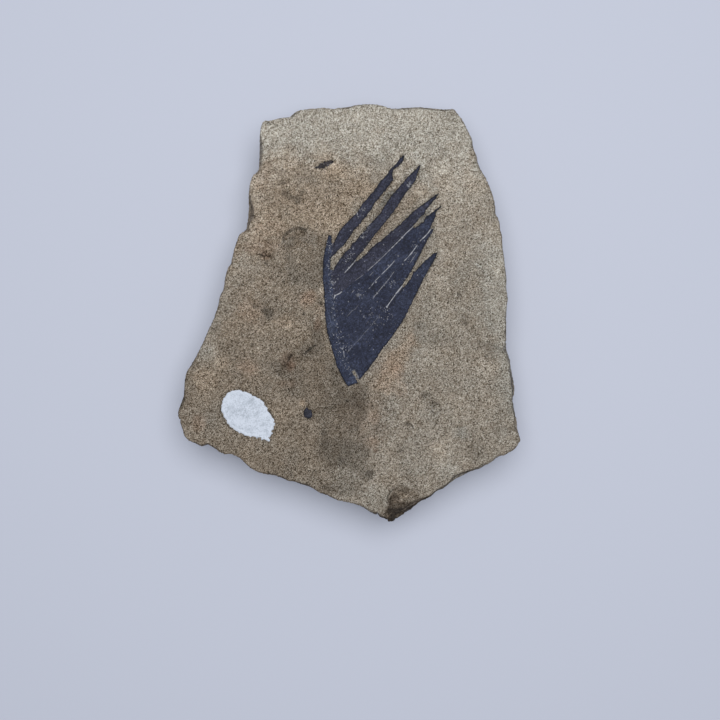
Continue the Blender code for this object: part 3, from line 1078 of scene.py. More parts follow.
    Blot((-2.2, -32.2), (5.3, 3.4), Tint(-0.1)),
    Blot((4.5, -37.9), (1.7, 1.7), Tint(-0.3)),
    Blot((-5.1, -41.3), (2.9, 1.4), Tint(-0.2)),
    Blot((6, -24.3), (1.7, 1.7), Tint(0.02, 0.1, 0.15)),
    Blot((5.5, -30.5), (2.2, 1.9), Tint(0, 0.1, 0.15)),
    Blot((11.7, -13.5), (1.9, 2.2), Tint(-0.05, 0.1, 0.2)),
    Blot((2.9, -19.5), (2.8, 4.8), Tint(-0.38, 0.15)),
    Blot((7, -20.5), (2.2, 3.4), Tint(-0.16, 0.1)),
    Blot((1, -36.5), (5.2, 5.2), Tint(-0.24, 0.1)),
    Blot((-13, -33.5), (5.2, 3), Tint(-0.14, -0.1)),
    # Right of the leaf.
    Blot((26.5, 30.5), (6.5, 6.5), Tint(0.15)),
    Blot((36.2, 11.2), (1.8, 3), Tint(0.16, -0.3)),
    Blot((33.5, 2), (4.5, 6.5), Tint(0.04, -0.28)),
    Blot((32.5, -13), (4.5, 2.2), Tint(0.16)),
    Blot((22, 0), (2.6, 3.6), Tint(0.11)),
    Blot((24.5, -34.5), (5, 3.4), Tint(0.12)),
    Blot((12, -32.5), (2.4, 2), Tint(-0.14)),
    Blot((20.1, -20.7), (2.2, 1.4), Tint(-0.24)),
    Blot((29.2, -32.2), (3.4, 2.9), Tint(-0.2, 0.1)),
    Blot((27.3, -28.3), (2.6, 1.9), Tint(-0.08, -0.3)),
    Blot((22, -31.7), (2.4, 3.4), Tint(0.14)),
    Blot((24.1, -36.9), (2.9, 1.9), Tint(0.16, -0.2)),
    Blot((27.7, -1), (2.2, 1.4), Tint(-0.16)),
    Blot((21.8, -5.8), (3.8, 1.9), Tint(-0.12)),
    Blot((16.5, -2.9), (1.9, 1.9), Tint(-0.14)),
    Blot((21.8, -17.8), (3.8, 2.2), Tint(-0.12)),
    Blot((21.8, 8.6), (3.4, 3.8), Tint(0.12)),
    Blot((33.7, -7.5), (3.8, 1.7), Tint(-0.2), -20),
    Blot((37.3, -29.8), (2.9, 1.9), Tint(0.12)),
    Blot((39, -21.4), (1.2, 3.8), Tint(-0.15)),
    Blot((6.6, -42.5), (3.2, 2.4), Tint(0.14, -0.1), -20),
    Blot((12.7, -41.3), (2.4, 1.4), Tint(-0.2)),
    # Painted shade on the stone between the leaflets, and small corrections of tone.
    Blot((8.6, 25.2), (6.5, 1.8), Tint(-0.34, -0.1, 0.1), 50),
    Blot((17.9, 23.5), (2.3, 0.8), Tint(-0.5, -0.6), 48),
    Blot((-20.5, 34.9), (2.5, 3), Tint(-0.1)),
    Blot((-12.5, 38.5), (3.5, 1.8), Tint(-0.08)),
    Blot((2.6, 34.6), (2.6, 3.4), Tint(0.1)),
    Blot((2, 48), (2.4, 1.8), Tint(0.08)),
    Blot((35, 10.9), (3, 2.6), Tint(0.1)),
    Blot((32, -3.4), (3.2, 1.9), Tint(-0.12)),
    Blot((35.5, -27), (3.2, 3), Tint(-0.12)),
    Blot((-19.5, -35.5), (3.8, 2.6), Tint(-0.12)),
    Blot((-3, -13.8), (1.7, 2.8), Tint(-0.32)),
    Blot((12.5, -38), (5.5, 2.4), Tint(-0.1)),
    Blot((7.4, -25), (2, 8), Tint(-0.07)),
    Blot((-5, 35.5), (4.5, 4.5), Tint(0, 0.3)),
    # More painted shade on the stone between the first three leaflets.
    Blot((9, 28), (2.8, 1.1), Tint(-0.3, -0.5), 52),
    Blot((7.4, 20.2), (4.6, 1.2), Tint(-0.2, 0.1, 0.15), 50),
    Blot((16.8, -42.2), (2.6, 1.4), Tint(-0.16, 0.1), 28),
    Blot((-28.5, -14.5), (5, 3.4), Tint(-0.08)),
    Blot((-28.5, -32), (5, 2.2), Tint(-0.09)),
    Blot((-15, -13.5), (4, 3.6), Tint(-0.06)),
    Blot((-15.5, -28.5), (3.4, 3), Tint(-0.07)),
    Blot((26.7, -3.4), (2.4, 2), Tint(0.07)),
    Blot((-22, 19.5), (3, 3.4), Tint(0.08)),
    Blot((-25.5, 3), (3.5, 4), Tint(0.07)),
    Blot((-11.8, 20.5), (2.4, 2), Tint(-0.1)),
    Blot((-21.5, 6.5), (4.5, 2.6), Tint(0.13)),
    Blot((-18.5, -3.4), (5, 2.4), Tint(0.13)),
    Blot((-21, -8), (2.4, 2.2), Tint(0.1)),
    Blot((8, -12.5), (2.6, 5.5), Tint(-0.15, 0.1, 0.1), -30),
    Blot((-21.3, -17.8), (3, 2), Tint(-0.1)),
    Blot((26.5, -22.6), (2.6, 2.6), Tint(0.11)),
    Blot((31.3, -17.8), (2.4, 2.4), Tint(0.1)),
    Blot((31.3, -32.2), (2.4, 2.4), Tint(-0.1)),
    Blot((1, -28.5), (4.5, 9.5), Tint(-0.14)),
    Blot((-4, -30), (3.5, 4), Tint(-0.1)),
    Blot((20, -10), (4, 3.5), Tint(0.08)),
    Blot((-7, 1.4), (2, 2), Tint(0.08, 0, 0.1)),
    Blot((35.5, 6), (3, 9), Tint(0, -0.25)),
    Blot((31.3, 34.9), (2.5, 2.5), Tint(0, -0.3)),
    Blot((-21, 33), (3.5, 4), Tint(0, 0.25, 0.1)),
    Blot((12.2, -17.8), (2.2, 2.2), Tint(0, 0.2, 0.1)),
    # Beside the plant scrap and the carbon speck.
    Blot((-4, 35.9), (0.7, 0.7), Tint(0.5, -0.2)),
    Blot((-11.2, -20.9), (0.9, 1), Tint(0.5, 0.4)),
)


# --- streaks: scratches, worn seams, thin beds, painted shade and a painted highlight ---


class Break(Enum):
    """How often a streak breaks off along its length."""

    NONE = 0.0
    SOME = 0.9
    DOTTED = 2.2


# Where streaks fade and end across, in half widths, how their ends taper, and how they break off.
STREAK_FADE, STREAK_REACH = 4.0, 6.0
TAPER_MM, TAPER_SHARE = 0.5, 0.2
BREAK_SHIFT, BREAK_PEAK = 0.05, 1.2
STREAK_BREAKS = (Unevenness(0.8, 97.0, octaves=2), Unevenness(0.3, 98.0, 0.5, 1))


@dataclass(frozen=True)
class Streak:
    """A thin pale or dark line: its places, width and strength, dark below zero."""

    line: Line
    width: float
    strength: float
    breaks: Break = Break.SOME

    def cover(self, points: np.ndarray, uneven: np.ndarray) -> tuple[np.ndarray, np.ndarray]:
        """Measure the streak at many points.

        Args:
            points: (n, 2) places.
            uneven: a smooth random number for each point, which breaks it off.

        Returns:
            The streak's strength at each point, and the place across it in half widths.
        """
        aside, along, length = line_places(points, self.line)
        across = np.clip(2.0 * aside / self.width, -STREAK_REACH, STREAK_REACH)
        taper = min(TAPER_MM, TAPER_SHARE * length)
        level = np.clip(1.0 + self.breaks.value * (uneven - BREAK_SHIFT), 0.0, BREAK_PEAK)
        level *= smoothstep(0.0, taper, along) * smoothstep(0.0, taper, length - along)
        level *= self.strength * (1.0 - smoothstep(STREAK_FADE, STREAK_REACH, np.abs(across)))
        return level, across


# The border of dust and of a worn spot, in shares of its reach, and how ragged each is.
WEAR_BORDER = (0.3, 1.1)
DUST_RAGGED, SPOT_RAGGED = 0.5, 0.4


@dataclass(frozen=True)
class Dust:
    """Pale dust caught along a line: its places, reach and the share of grains that hold it."""

    line: Line
    reach: float
    share: float

    def cover(self, points: np.ndarray, uneven: np.ndarray) -> np.ndarray:
        """Return the share of grains that hold dust at each point."""
        away = np.abs(line_places(points, self.line)[0]) / self.reach + DUST_RAGGED * uneven
        return self.share * (1.0 - smoothstep(*WEAR_BORDER, away))


@dataclass(frozen=True)
class WornSpot:
    """A worn spot: middle, reach and paleness."""

    middle: Point
    reach: float
    pale: float

    def cover(self, points: np.ndarray, uneven: np.ndarray) -> np.ndarray:
        """Return how worn the film is at each point, from 0 to 1."""
        away = np.hypot(*(points - np.array(self.middle)).T) + SPOT_RAGGED * self.reach * uneven
        return self.pale * (1.0 - smoothstep(*np.multiply(WEAR_BORDER, self.reach), away))


def paint_streaks(
    mesh: bpy.types.Mesh, streaks: Iterable[Streak], share: np.ndarray | float = 1.0
) -> None:
    """Store the strongest streak at each vertex, and the place across it in half widths.

    Args:
        mesh: the mesh that gets the values.
        streaks: the streaks that may cross it.
        share: how much of a streak shows at each vertex.
    """
    points = places(mesh)[:, :2]
    strength = np.zeros(len(points))
    side = np.full(len(points), STREAK_REACH)
    uneven = sum(layer.at(points) for layer in STREAK_BREAKS)
    margin = 2.0
    low, high = points.min(axis=0) - margin, points.max(axis=0) + margin
    for streak in streaks:
        corners = np.array(streak.line)
        if (corners.max(axis=0) < low).any() or (corners.min(axis=0) > high).any():
            continue
        level, across = streak.cover(points, uneven)
        stronger = np.abs(level) > np.abs(strength)
        strength = np.where(stronger, level, strength)
        side = np.where(stronger, across, side)
    paint(mesh, "streak", strength * share)
    paint(mesh, "streak_side", side)


LEAF_STREAKS = (
    # Between the second and the third leaflet.
    Streak(((6.4, 19.3), (5.4, 17.9), (4, 16.3), (3.1, 14.9), (2, 13.7)), 0.2, 0.6),
    Streak(((2, 13.7), (1.3, 12.9), (0.2, 11.6), (-0.9, 10.5), (-1.2, 10.1)), 0.2, 0.85),
    Streak(((-3.1, 8.3), (-3.7, 7.6), (-4, 7.2)), 0.23, 0.8),
    # Between the third and the fourth.
    Streak(((20.8, 26.5), (19.1, 25.2), (17.7, 23.4), (16, 22), (14.5, 20.5)), 0.24, 0.6),
    Streak(((14.8, 20.8), (13.6, 19.7), (12.7, 18.7), (11.4, 17.4), (9.9, 15.9)), 0.17, 0.82),
    Streak(((10.1, 16.1), (8.4, 14.4), (6.6, 12.7), (4.8, 11.1), (4.3, 10.5)), 0.13, 0.66),
    Streak(((3.7, 10), (1.3, 8.3)), 0.13, 0.35),
    Streak(((-1.6, 5.9), (-2.3, 5.3), (-3.4, 4.8), (-3.7, 3.9)), 0.22, 0.8),
    Streak(((6, 10.7), (4.8, 9.4)), 0.13, 0.35),
    # Along the middle of the fourth.
    Streak(((11, 13.3), (9.9, 12), (8.8, 10.9), (7.6, 9.7)), 0.18, 0.66),
    Streak(((7.6, 9.7), (6.2, 8.3), (5, 6.7), (4.5, 6.3)), 0.14, 0.6, Break.DOTTED),
    Streak(((1.3, 6.2), (0.6, 5.4)), 0.13, 0.5),
    Streak(((2.3, 2.7), (1.4, 1.5), (0.6, 1.1), (-0.6, -0.3)), 0.13, 0.32),
    # Between the fourth and the fifth.
    Streak(((16.4, 17), (15.3, 15.5), (14.2, 14.1), (13, 12.9)), 0.17, 0.88),
    Streak(
        ((10.9, 10.7), (10.2, 9.8), (9.7, 9), (8.1, 7.1), (6.7, 5.4), (6, 4.6), (5.6, 3.9)),
        0.13, 0.5,
    ),
    Streak(
        ((16.8, 17.7), (17.5, 18.4), (18.3, 19.1), (18.9, 19.8), (19.6, 20.8), (20, 21.6), (20.3, 22.4)),
        0.23, 0.8,
    ),
    Streak(((16.4, 15.4), (14.5, 12.5)), 0.13, 0.45),
    # Between the fifth and the sixth.
    Streak(((15.1, 10.3), (12.7, 7.1), (11, 5)), 0.27, 0.85, Break.NONE),
    Streak(((11.2, 5.2), (9, 2.1)), 0.18, 0.85),
    Streak(
        ((7.5, 0.5), (5.6, -2.1), (3.5, -4.3), (2.7, -5.4), (1, -7.1), (0.1, -8.2), (-0.6, -8.9)),
        0.13, 0.22,
    ),
    Streak(((-1.4, -8.2), (-1.1, -10.1)), 0.23, 0.5),
    # The bare strip at the leaf's foot.
    Streak(((0.8, -12.9), (1.5, -14), (2.2, -15.3)), 0.85, 0.42, Break.NONE),
)

WORN_SPOTS = (
    WornSpot((-0.1, 11.5), 0.3, 0.5),
    WornSpot((-2.7, 8.8), 0.25, 0.4),
    WornSpot((2.2, 4.9), 0.55, 0.3),
    WornSpot((-1.6, -7.9), 0.25, 0.6),
    WornSpot((-4.1, 8.1), 0.25, 0.6),
    WornSpot((18.8, 24.5), 0.35, 0.8),
    WornSpot((12.7, 18.7), 0.28, 0.9),
    WornSpot((9.4, 12), 0.25, 0.5),
    WornSpot((6.4, 8), 0.25, 0.8),
    WornSpot((6.7, 5.4), 0.2, 0.6),
    WornSpot((6, 4.6), 0.2, 0.6),
    WornSpot((9, 2.1), 0.25, 0.9),
    WornSpot((-0.5, 22.7), 0.35, 0.85),
    WornSpot((-1.5, 16.3), 0.3, 0.7),
    WornSpot((14, 31.2), 0.25, 0.4),
    WornSpot((14.6, 31.9), 0.22, 0.4),
    WornSpot((11.7, 14.3), 0.2, 0.5),
    WornSpot((12.8, 12.3), 0.2, 0.5),
    WornSpot((13.4, 8.9), 0.2, 0.4),
    WornSpot((8.3, -2.1), 0.2, 0.4),
    WornSpot((2.7, 1.1), 0.2, 0.5),
)

DUST = (
    Dust(((-4.6, 17), (-4.5, 10.6), (-4, 6), (-3.4, 2)), 0.9, 0.15),
    Dust(((-3.4, 2), (-3.2, -2), (-2.8, -5.6), (-1.8, -9.2), (-0.6, -12)), 1.4, 0.09),
    Dust(((2.4, 24.1), (3.5, 25.3)), 1.2, 0.22),
    Dust(((4.5, 21.5), (3, 18.8)), 0.9, 0.22),
    Dust(((1, 15.7), (-0.8, 12.9)), 0.8, 0.24),
    Dust(((14.1, 31.1), (14.6, 31.9)), 0.7, 0.35),
    Dust(((9.9, 7.5), (10.4, 7.9)), 1, 0.2),
    Dust(((6, -0.8), (8.5, 0.5)), 3, 0.06),
    Dust(((2.4, 5), (3, 5.4)), 1.2, 0.2),
    Dust(((16, 16.5), (14.5, 13)), 0.8, 0.14),
    Dust(((-1.4, -8.2), (0.2, -7.6)), 0.9, 0.25),
)

STONE_STREAKS = (
    # Thin beds in the broken corner.
    Streak(((8.7, -48.3), (9.6, -48), (10.7, -47.2)), 0.35, 0.7, Break.NONE),
    Streak(((12.5, -47.3), (14.3, -46), (15.9, -44.9), (17.4, -43.9)), 0.35, 0.9, Break.NONE),
    Streak(((11.9, -46.5), (13.9, -45.4), (15.7, -44.5)), 0.4, -0.4),
    Streak(((9, -44.4), (9.3, -43.2), (10, -42.2), (11, -41.2)), 0.45, -0.6, Break.NONE),
    # The shadowed rim of the white paint.
    Streak(
        ((-21.3, -20.6), (-20.4, -21.5), (-19.3, -22.5), (-18.4, -23.7), (-17.9, -25)),
        0.35, -0.7, Break.NONE,
    ),
    Streak(((-30.9, -21.6), (-30.7, -23.4), (-29.8, -25.4), (-28.3, -27.3)), 0.3, -0.45),
    # Cracks and thin dark borders left of and below the leaf.
    Streak(
        ((-15.8, 17.2), (-15.7, 19.1), (-14.6, 20), (-13.4, 20.8), (-12.2, 21), (-11, 20.8), (-9.9, 20.3)),
        0.7, -0.85,
    ),
    Streak(((-14.6, 18.1), (-13, 19.1), (-12.2, 19.8)), 0.5, -0.7),
    Streak(((-21.2, 15), (-20.4, 14.1), (-19.8, 13.9)), 0.45, -1.1, Break.NONE),
    Streak(((-20, 15), (-19.6, 14.2), (-18.4, 14.5)), 0.4, -1.1, Break.NONE),
    Streak(((-19.9, 13.8), (-20.1, 12.6), (-19.1, 11.6)), 0.35, -0.6),
    Streak(((-14.9, -11.2), (-14.2, -10), (-13.3, -8.9)), 0.4, -1, Break.NONE),
    Streak(((-21.1, 20.5), (-20.6, 19.7)), 0.45, -0.49),
    Streak(((-18.7, -1.4), (-17, -1.5)), 0.5, 0.4),
    Streak(((-11.3, 2.9), (-10.4, 2.9), (-9.6, 2.3)), 0.35, -0.56),
    Streak(((-10.9, -9.6), (-10.2, -8.6), (-9.3, -7.8), (-7.7, -6.9)), 0.45, -0.95, Break.NONE),
    Streak(((-19, -12.3), (-18.2, -11.5), (-17.3, -11)), 0.45, -0.56),
    Streak(((14.6, -25.6), (15.5, -27.3)), 0.4, -0.63),
    # Between the tips of the third and the fourth leaflet.
    Streak(((18.5, 23.9), (19.8, 24.8), (21.2, 25.8)), 0.4, 0.5),
    # Painted shade along the edge, where dark slivers of the broken side show.
    Streak(
        ((32.5, -35.8), (28.9, -37.3), (26.5, -38.4), (23.4, -40.6), (19.6, -43.1), (18.6, -43.9)),
        0.7, -0.8,
    ),
    Streak(((38.7, -13), (39.5, -17.3), (39.3, -19.3), (39, -20.2), (39.5, -22.6), (40, -25)), 0.6, -0.6),
    Streak(((-39.5, -19.3), (-40.3, -21.4), (-40.7, -22.6)), 0.9, -0.8),
    Streak(((-35.6, -31.3), (-34.6, -31), (-33.6, -30.7)), 0.6, -1),
    Streak(((2.6, -45.5), (5.5, -47.3), (7.4, -48), (9.1, -49)), 0.5, -0.8),
    Streak(((-14.2, -39.6), (-11, -40.4), (-9.6, -41)), 0.5, -0.5),
    Streak(((-7, -42.4), (-4.8, -43.3), (-3.6, -44)), 0.5, -0.7),
    Streak(((-14.2, 47.4), (-13.3, 48.2), (-12, 49)), 0.6, -0.8),
    Streak(((-2.8, 49.6), (0.2, 49.9)), 0.4, -0.4),
    Streak(((10, 49.5), (13.1, 49.6), (17, 49.8), (20.8, 49.3), (23.4, 49.2), (24.3, 49.4)), 0.4, -0.45),
    Streak(((-24.3, 20.6), (-23.9, 26), (-23.9, 29)), 0.5, -0.4),
    Streak(((-21.4, 36), (-21.2, 40), (-21.2, 44)), 0.4, -0.4),
    # Ledges with painted shade along them, and scratches, on the right.
    Streak(((32.5, -5.8), (35, -7.4), (37.3, -8.7)), 0.6, -0.25),
    Streak(((27.3, -36.9), (29.5, -36.2), (32, -35)), 0.5, -0.35),
    Streak(((33.5, 12.6), (34.8, 11.2), (35.9, 10)), 0.5, 0.25),
    Streak(((32, 7.6), (33.6, 7), (36, 6.6)), 0.4, 0.35),
    Streak(((29, 12), (31.2, 10.2)), 0.5, 0.2),
    Streak(ring_line((20.8, -22.1), 1.2), 0.5, -0.3),
    # The pale lip of stone along the last leaflet: rubbed stone, with a painted highlight along its edge.
    Streak(
        ((11.4, -3.9), (9.7, -5.7), (8.3, -7.3), (7.4, -9.1), (5.8, -11.3), (4.1, -13.2), (2.9, -15)),
        0.5, 0.35,
    ),
)


# --- the slab ---

# The bedding face's edge, clockwise from the top left.
EDGE = (
    (-20.9, 45.8), (-20.5, 46.5), (-20, 46.7), (-18.7, 46.7), (-18, 46.9), (-16.8, 47.2), (-15.6, 47.4),
    (-14.2, 47.5), (-13.8, 47.8), (-13.3, 48.4), (-12.7, 48.8), (-12, 49.1), (-10.8, 49.3), (-9.6, 49.5),
    (-7.7, 49.6), (-5.8, 49.8), (-4.8, 49.6), (-3.6, 49.4), (-2.8, 49.7), (-1.2, 49.8), (0.2, 50),
    (1.2, 50.3), (2.4, 50.5), (3.8, 50.6), (5.5, 50.6), (7.4, 50.4), (8.8, 50), (10, 49.6), (11.7, 49.5),
    (13.1, 49.7), (15.1, 49.8), (17, 49.9), (18.9, 49.7), (20.8, 49.5), (23.4, 49.3), (24.3, 49.5),
    (25.1, 49.4), (25.8, 48.5), (26.7, 47.5), (27.5, 46.1), (28.2, 44.6), (29, 43), (29.4, 42.1),
    (29.5, 40.6), (29.9, 39.4), (30.5, 38.2), (30.6, 36.9), (31.2, 35.4), (31.9, 34.2), (32.5, 33.3),
    (33.2, 31.8), (33.7, 30.5), (34.3, 28.8), (34.7, 27.3), (34.9, 26), (34.9, 24.4), (35.4, 23.8),
    (35.9, 22.4), (36.1, 20.5), (36.5, 19.1), (36.6, 16.7), (37, 13.8), (37.3, 11.2), (37.6, 8.8),
    (37.5, 6.4), (37.8, 5), (37.9, 4), (37.7, 2.8), (37.5, 0.4), (37.5, -3.4), (37.5, -8.2), (37.9, -9.2),
    (38.4, -10.6), (38.5, -11.8), (38.7, -13), (39.2, -15.4), (39.5, -17.3), (39.4, -18.7), (39, -20.2),
    (39.4, -22.6), (40, -25), (40.2, -27.1), (40.7, -29), (41, -29.8), (40.4, -30.7), (40, -31.4),
    (39.2, -32.2), (38, -32.8), (37.3, -33.3), (35.9, -33.5), (35.3, -33.8), (34.4, -34.7), (33.7, -35.2),
    (32.5, -35.7), (31.3, -36.5), (29.9, -36.9), (28.9, -37.2), (27.7, -37.9), (26.5, -38.4), (25.3, -39),
    (24.6, -39.7), (23.4, -40.5), (22.7, -41.2), (21.8, -41.5), (20.6, -42.1), (19.6, -43.1),
    (18.6, -43.8), (17.4, -44.1), (16.5, -44.7), (15.5, -45.6), (14.6, -46.3), (13.6, -46.9),
    (12.7, -47.6), (11.7, -48.2), (10.7, -49), (10, -49.4), (9.4, -49.1), (8.6, -48.6), (7.9, -48),
    (6.9, -47.7), (5.7, -47.3), (4.8, -46.7), (3.7, -45.9), (2.6, -45.4), (1.4, -45), (0.2, -44.7),
    (-1.2, -44.4), (-2.7, -44.1), (-3.6, -43.7), (-4.6, -43.2), (-5.3, -42.8), (-6.3, -42.6), (-7, -42.3),
    (-7.9, -41.7), (-8.9, -41.1), (-9.6, -40.8), (-10.6, -40.4), (-11.8, -40.2), (-12.5, -39.8),
    (-13.2, -39.6), (-14.4, -39.5), (-16.1, -38.7), (-17.8, -38.1), (-19, -38), (-20.2, -37.8),
    (-21.3, -37.5), (-22.3, -37.1), (-23.3, -36.6), (-24.7, -35.4), (-26.1, -34), (-26.9, -33.6),
    (-28.1, -33.1), (-28.8, -32.9), (-29.7, -33.1), (-30.4, -32.9), (-31.2, -32.4), (-31.9, -31.8),
    (-32.8, -31.3), (-33.6, -30.8), (-34.3, -30.7), (-34.8, -31), (-35.1, -31.2), (-35.7, -31),
    (-36.7, -30.5), (-37.6, -30.1), (-38.2, -29.9), (-38.8, -29.5), (-39.3, -28.9), (-39.6, -28.1),
    (-39.7, -27.4), (-40.1, -26.5), (-40.4, -25.2), (-40.7, -24.4), (-41, -23.7), (-40.7, -22.5),
    (-40.3, -21.4), (-39.5, -19.3), (-39.4, -17.8), (-39.3, -16.1), (-39.2, -14.9), (-38.8, -13.5),
    (-38.4, -12.8), (-37.7, -11.8), (-37, -10.6), (-35.7, -8.2), (-34.6, -5.8), (-33.6, -3.4),
    (-32.4, -1), (-31.6, 1.4), (-31.2, 2.6), (-31, 4), (-30.7, 5), (-30.1, 6), (-29.8, 7.4), (-29.5, 9.7),
    (-29.1, 10.9), (-28.8, 11.7), (-28.3, 12.1), (-28, 13.3), (-27.5, 15.7), (-27.1, 16.9), (-26.7, 18.2),
    (-26.1, 19.6), (-25.4, 20), (-24.6, 20.4), (-24.4, 21.5), (-24.1, 23.2), (-23.9, 25.3), (-23.9, 27.5),
    (-24, 28.9), (-23.7, 31.3), (-23.4, 32.5), (-23.1, 33.2), (-22.7, 33.9), (-22.1, 34.4), (-21.5, 34.9),
    (-21.4, 37.3), (-21.3, 39.7), (-21.3, 43), (-21.1, 44.5),
)


@dataclass
class SandstoneSlab:
    """The broken slab, with its bedding face, rough sides and flat underside."""

    node: str = "sandstone_slab"
    slot: str = "sandstone"

    # The mesh: its cells, how far a face tilts before it is a side, where the flat underside is and
    # the share of faces it keeps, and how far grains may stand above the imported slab.
    cell_mm: float = 0.41
    facing: Point = (0.55, 0.9)
    underside_height: float = 0.35
    underside_facing: float = 0.9
    underside_share: float = 0.72
    headroom: float = 0.5

    # The bedding face.
    face_level: float = 14.6
    face_lift: float = 0.2
    swell: Unevenness = Unevenness(6.0, 11.0, 0.1)
    ripple: Unevenness = Unevenness(1.9, 23.0, 0.06, 2)

    # The broken sides: ledges along the beds, creases, grit and crumbled corners. Only a share of
    # the ledges and creases is left above the calm heights.
    grow: float = 0.12
    ledge_mm: float = 1.7
    ledge_length_mm: float = 11.0
    ledge: Unevenness = Unevenness(1.0, 31.0, 1.1, 2)
    bed_wave: Unevenness = Unevenness(12.0, 41.0, 0.8, 2)
    bed_seed_step: float = 7.3
    crease_level: float = 0.25
    crease: Unevenness = Unevenness(6.0, 5.0)
    calm_heights: Point = (9.0, 13.0)
    calm_share: float = 0.3
    grit: Unevenness = Unevenness(1.5, 47.0, 0.22, 2)
    crumble: Unevenness = Unevenness(1.8, 53.0, octaves=2)
    crumble_mm: float = 0.35
    sharpen: float = 0.22
    rim_height: float = 11.0

    # The underside.
    pits: Unevenness = Unevenness(3.0, 61.0)
    pit_mm: float = 0.25

    # How the sides are fitted to the edge line, from where the eye looks, and hollowed below it.
    eye: tuple[float, float, float] = Studio.camera_place
    edge_bin: float = 0.5
    edge_step: float = 0.8
    edge_rounds: int = 5
    edge_reach: float = 4.0
    edge_fade: float = 0.3
    edge_margin: float = 0.18
    undercut: float = 1.5
    undercut_height: float = 13.5
    undercut_reach: Point = (1.0, 6.0)
    undercut_wave: Unevenness = Unevenness(9.0, 67.0, 0.8, 2)

    # The broken corner: the face is whole to the left of this line. Beyond it the stone falls off.
    chip_border: Line = (
        (8.4, -51), (8.5, -48), (8.9, -46.5), (9.4, -45.7), (11.5, -45.8), (14, -45.4), (16.5, -44.3),
        (19.5, -43),
    )
    chip_middle: Point = (11.5, -46.0)
    chip_reach: float = 8.0
    chip_slope: float = 1.5
    chip_foot: float = 7.0
    chip_facing: float = 0.15
    chip_stain_foot: float = 8.0
    spall_middle: Point = (11.8, -43.6)
    spall_reach: Point = (3.2, 2.6)
    spall_border: Point = (0.5, 1.1)
    spall_depth: float = 0.7

    # Stains and painted shade: the stone's own tint, the sides' darker weathering with painted shade, the
    # rim's painted shade and dirt, and how far down the sides stains run.
    base_tint: Tint = Tint(-0.28, 0.33)
    side_crust_and_shade_tint: Tint = Tint(-0.3, 0.2)
    rim_shade_and_dirt_tint: Tint = Tint(-0.3)
    rim_shade_stretch: Unevenness = Unevenness(6.0, 73.0, 1.4, 2)
    stain_border: Unevenness = Unevenness(2.6, 71.0)
    stain_foot: Unevenness = Unevenness(4.0, 79.0, octaves=2)
    stained_heights: Point = (7.5, 11.5)
    stained_sides: float = 0.25

    # Coal dust rubbed into the stone beside the films.
    soot: float = 0.7
    soot_border: Point = (-0.9, -0.1)
    soot_wave: Unevenness = Unevenness(0.9, 89.0, 1.5, 2)

    # Loose grains on bare stone, which keep clear of what lies on the face.
    grains_per_mm2: float = 0.4
    grain_sizes_mm: Point = (0.09, 0.19)
    grain_tones: Point = (-0.5, 0.5)
    grain_cuts: tuple[int, int] = (4, 2)
    grain_seed: int = 7
    grain_facing: float = -0.3
    covered_facing: float = 0.5
    bare_share: float = 0.9
    grain_margin: float = 0.45

    def kinds(self, normals: np.ndarray) -> dict[Face, np.ndarray]:
        """Tell how much each vertex belongs to each kind of surface.

        Args:
            normals: the vertices' normals.

        Returns:
            For each kind, one share from 0 to 1 for each vertex.
        """
        bedding = smoothstep(*self.facing, normals[:, 2])
        underside = smoothstep(*self.facing, -normals[:, 2])
        return {
            Face.BEDDING: bedding,
            Face.UNDERSIDE: underside,
            Face.BROKEN: 1.0 - bedding - underside,
        }

    def rim(self, broken: np.ndarray, heights: np.ndarray) -> np.ndarray:
        """Find the slab's upper rim, between the bedding face and a side.

        Args:
            broken: how much each vertex belongs to a side.
            heights: the vertices' heights in millimetres.

        Returns:
            A share from 0 to 1 for each vertex.
        """
        return 4.0 * broken * (1.0 - broken) * (heights > self.rim_height)

    def chip(self, plan: np.ndarray) -> tuple[np.ndarray, np.ndarray]:
        """Find the broken corner.

        Args:
            plan: (n, 2) places.

        Returns:
            Whether each place is near the corner, and how far the stone has fallen there.
        """
        near = np.hypot(*(plan - np.array(self.chip_middle)).T) < self.chip_reach
        beyond = -line_places(plan, self.chip_border)[0]
        return near, self.chip_slope * np.maximum(beyond, 0.0)

    def even_cells(self, slab: bpy.types.Object) -> None:
        """Give the slab an even, fine mesh.

        Args:
            slab: the slab's object.
        """
        remesh = slab.modifiers.new("even cells", "REMESH")
        remesh.mode = "VOXEL"
        remesh.voxel_size = self.cell_mm * MM
        remesh.use_smooth_shade = True
        finish_mesh(slab)

    def mend_corner(self, mesh: bpy.types.Mesh) -> None:
        """Fill the broken corner up to the chip's own surface.

        Args:
            mesh: the slab's fine mesh.
        """
        points = places(mesh)
        normals = vertex_normals(mesh)
        plan = points[:, :2]
        near, fallen = self.chip(plan)
        spall = np.hypot(*((plan - np.array(self.spall_middle)) / np.array(self.spall_reach)).T)
        level = self.face_level - self.spall_depth * (1.0 - smoothstep(*self.spall_border, spall))
        level -= fallen
        scooped = near & (points[:, 2] > self.chip_foot) & (normals[:, 2] > self.chip_facing)
        points[:, 2] = np.where(scooped, np.maximum(points[:, 2], level), points[:, 2])
        set_places(mesh, points)

    def outward(self, ring: Line) -> np.ndarray:
        """Work out which way is outwards along the edge line.

        Args:
            ring: the closed edge line.

        Returns:
            (n, 2) unit directions, one for each bin of the line's length.
        """
        corners = np.array(ring)
        reached = np.concatenate([[0.0], np.cumsum(np.hypot(*np.diff(corners, axis=0).T))])
        middles = (np.arange(math.ceil(reached[-1] / self.edge_bin)) + 0.5) * self.edge_bin
        ahead, behind = (
            np.column_stack([np.interp((middles + step) % reached[-1], reached, c) for c in corners.T])
            for step in (self.edge_step, -self.edge_step)
        )
        across = (ahead - behind)[:, ::-1] * np.array([-1.0, 1.0])
        return across / np.hypot(*across.T)[:, None]

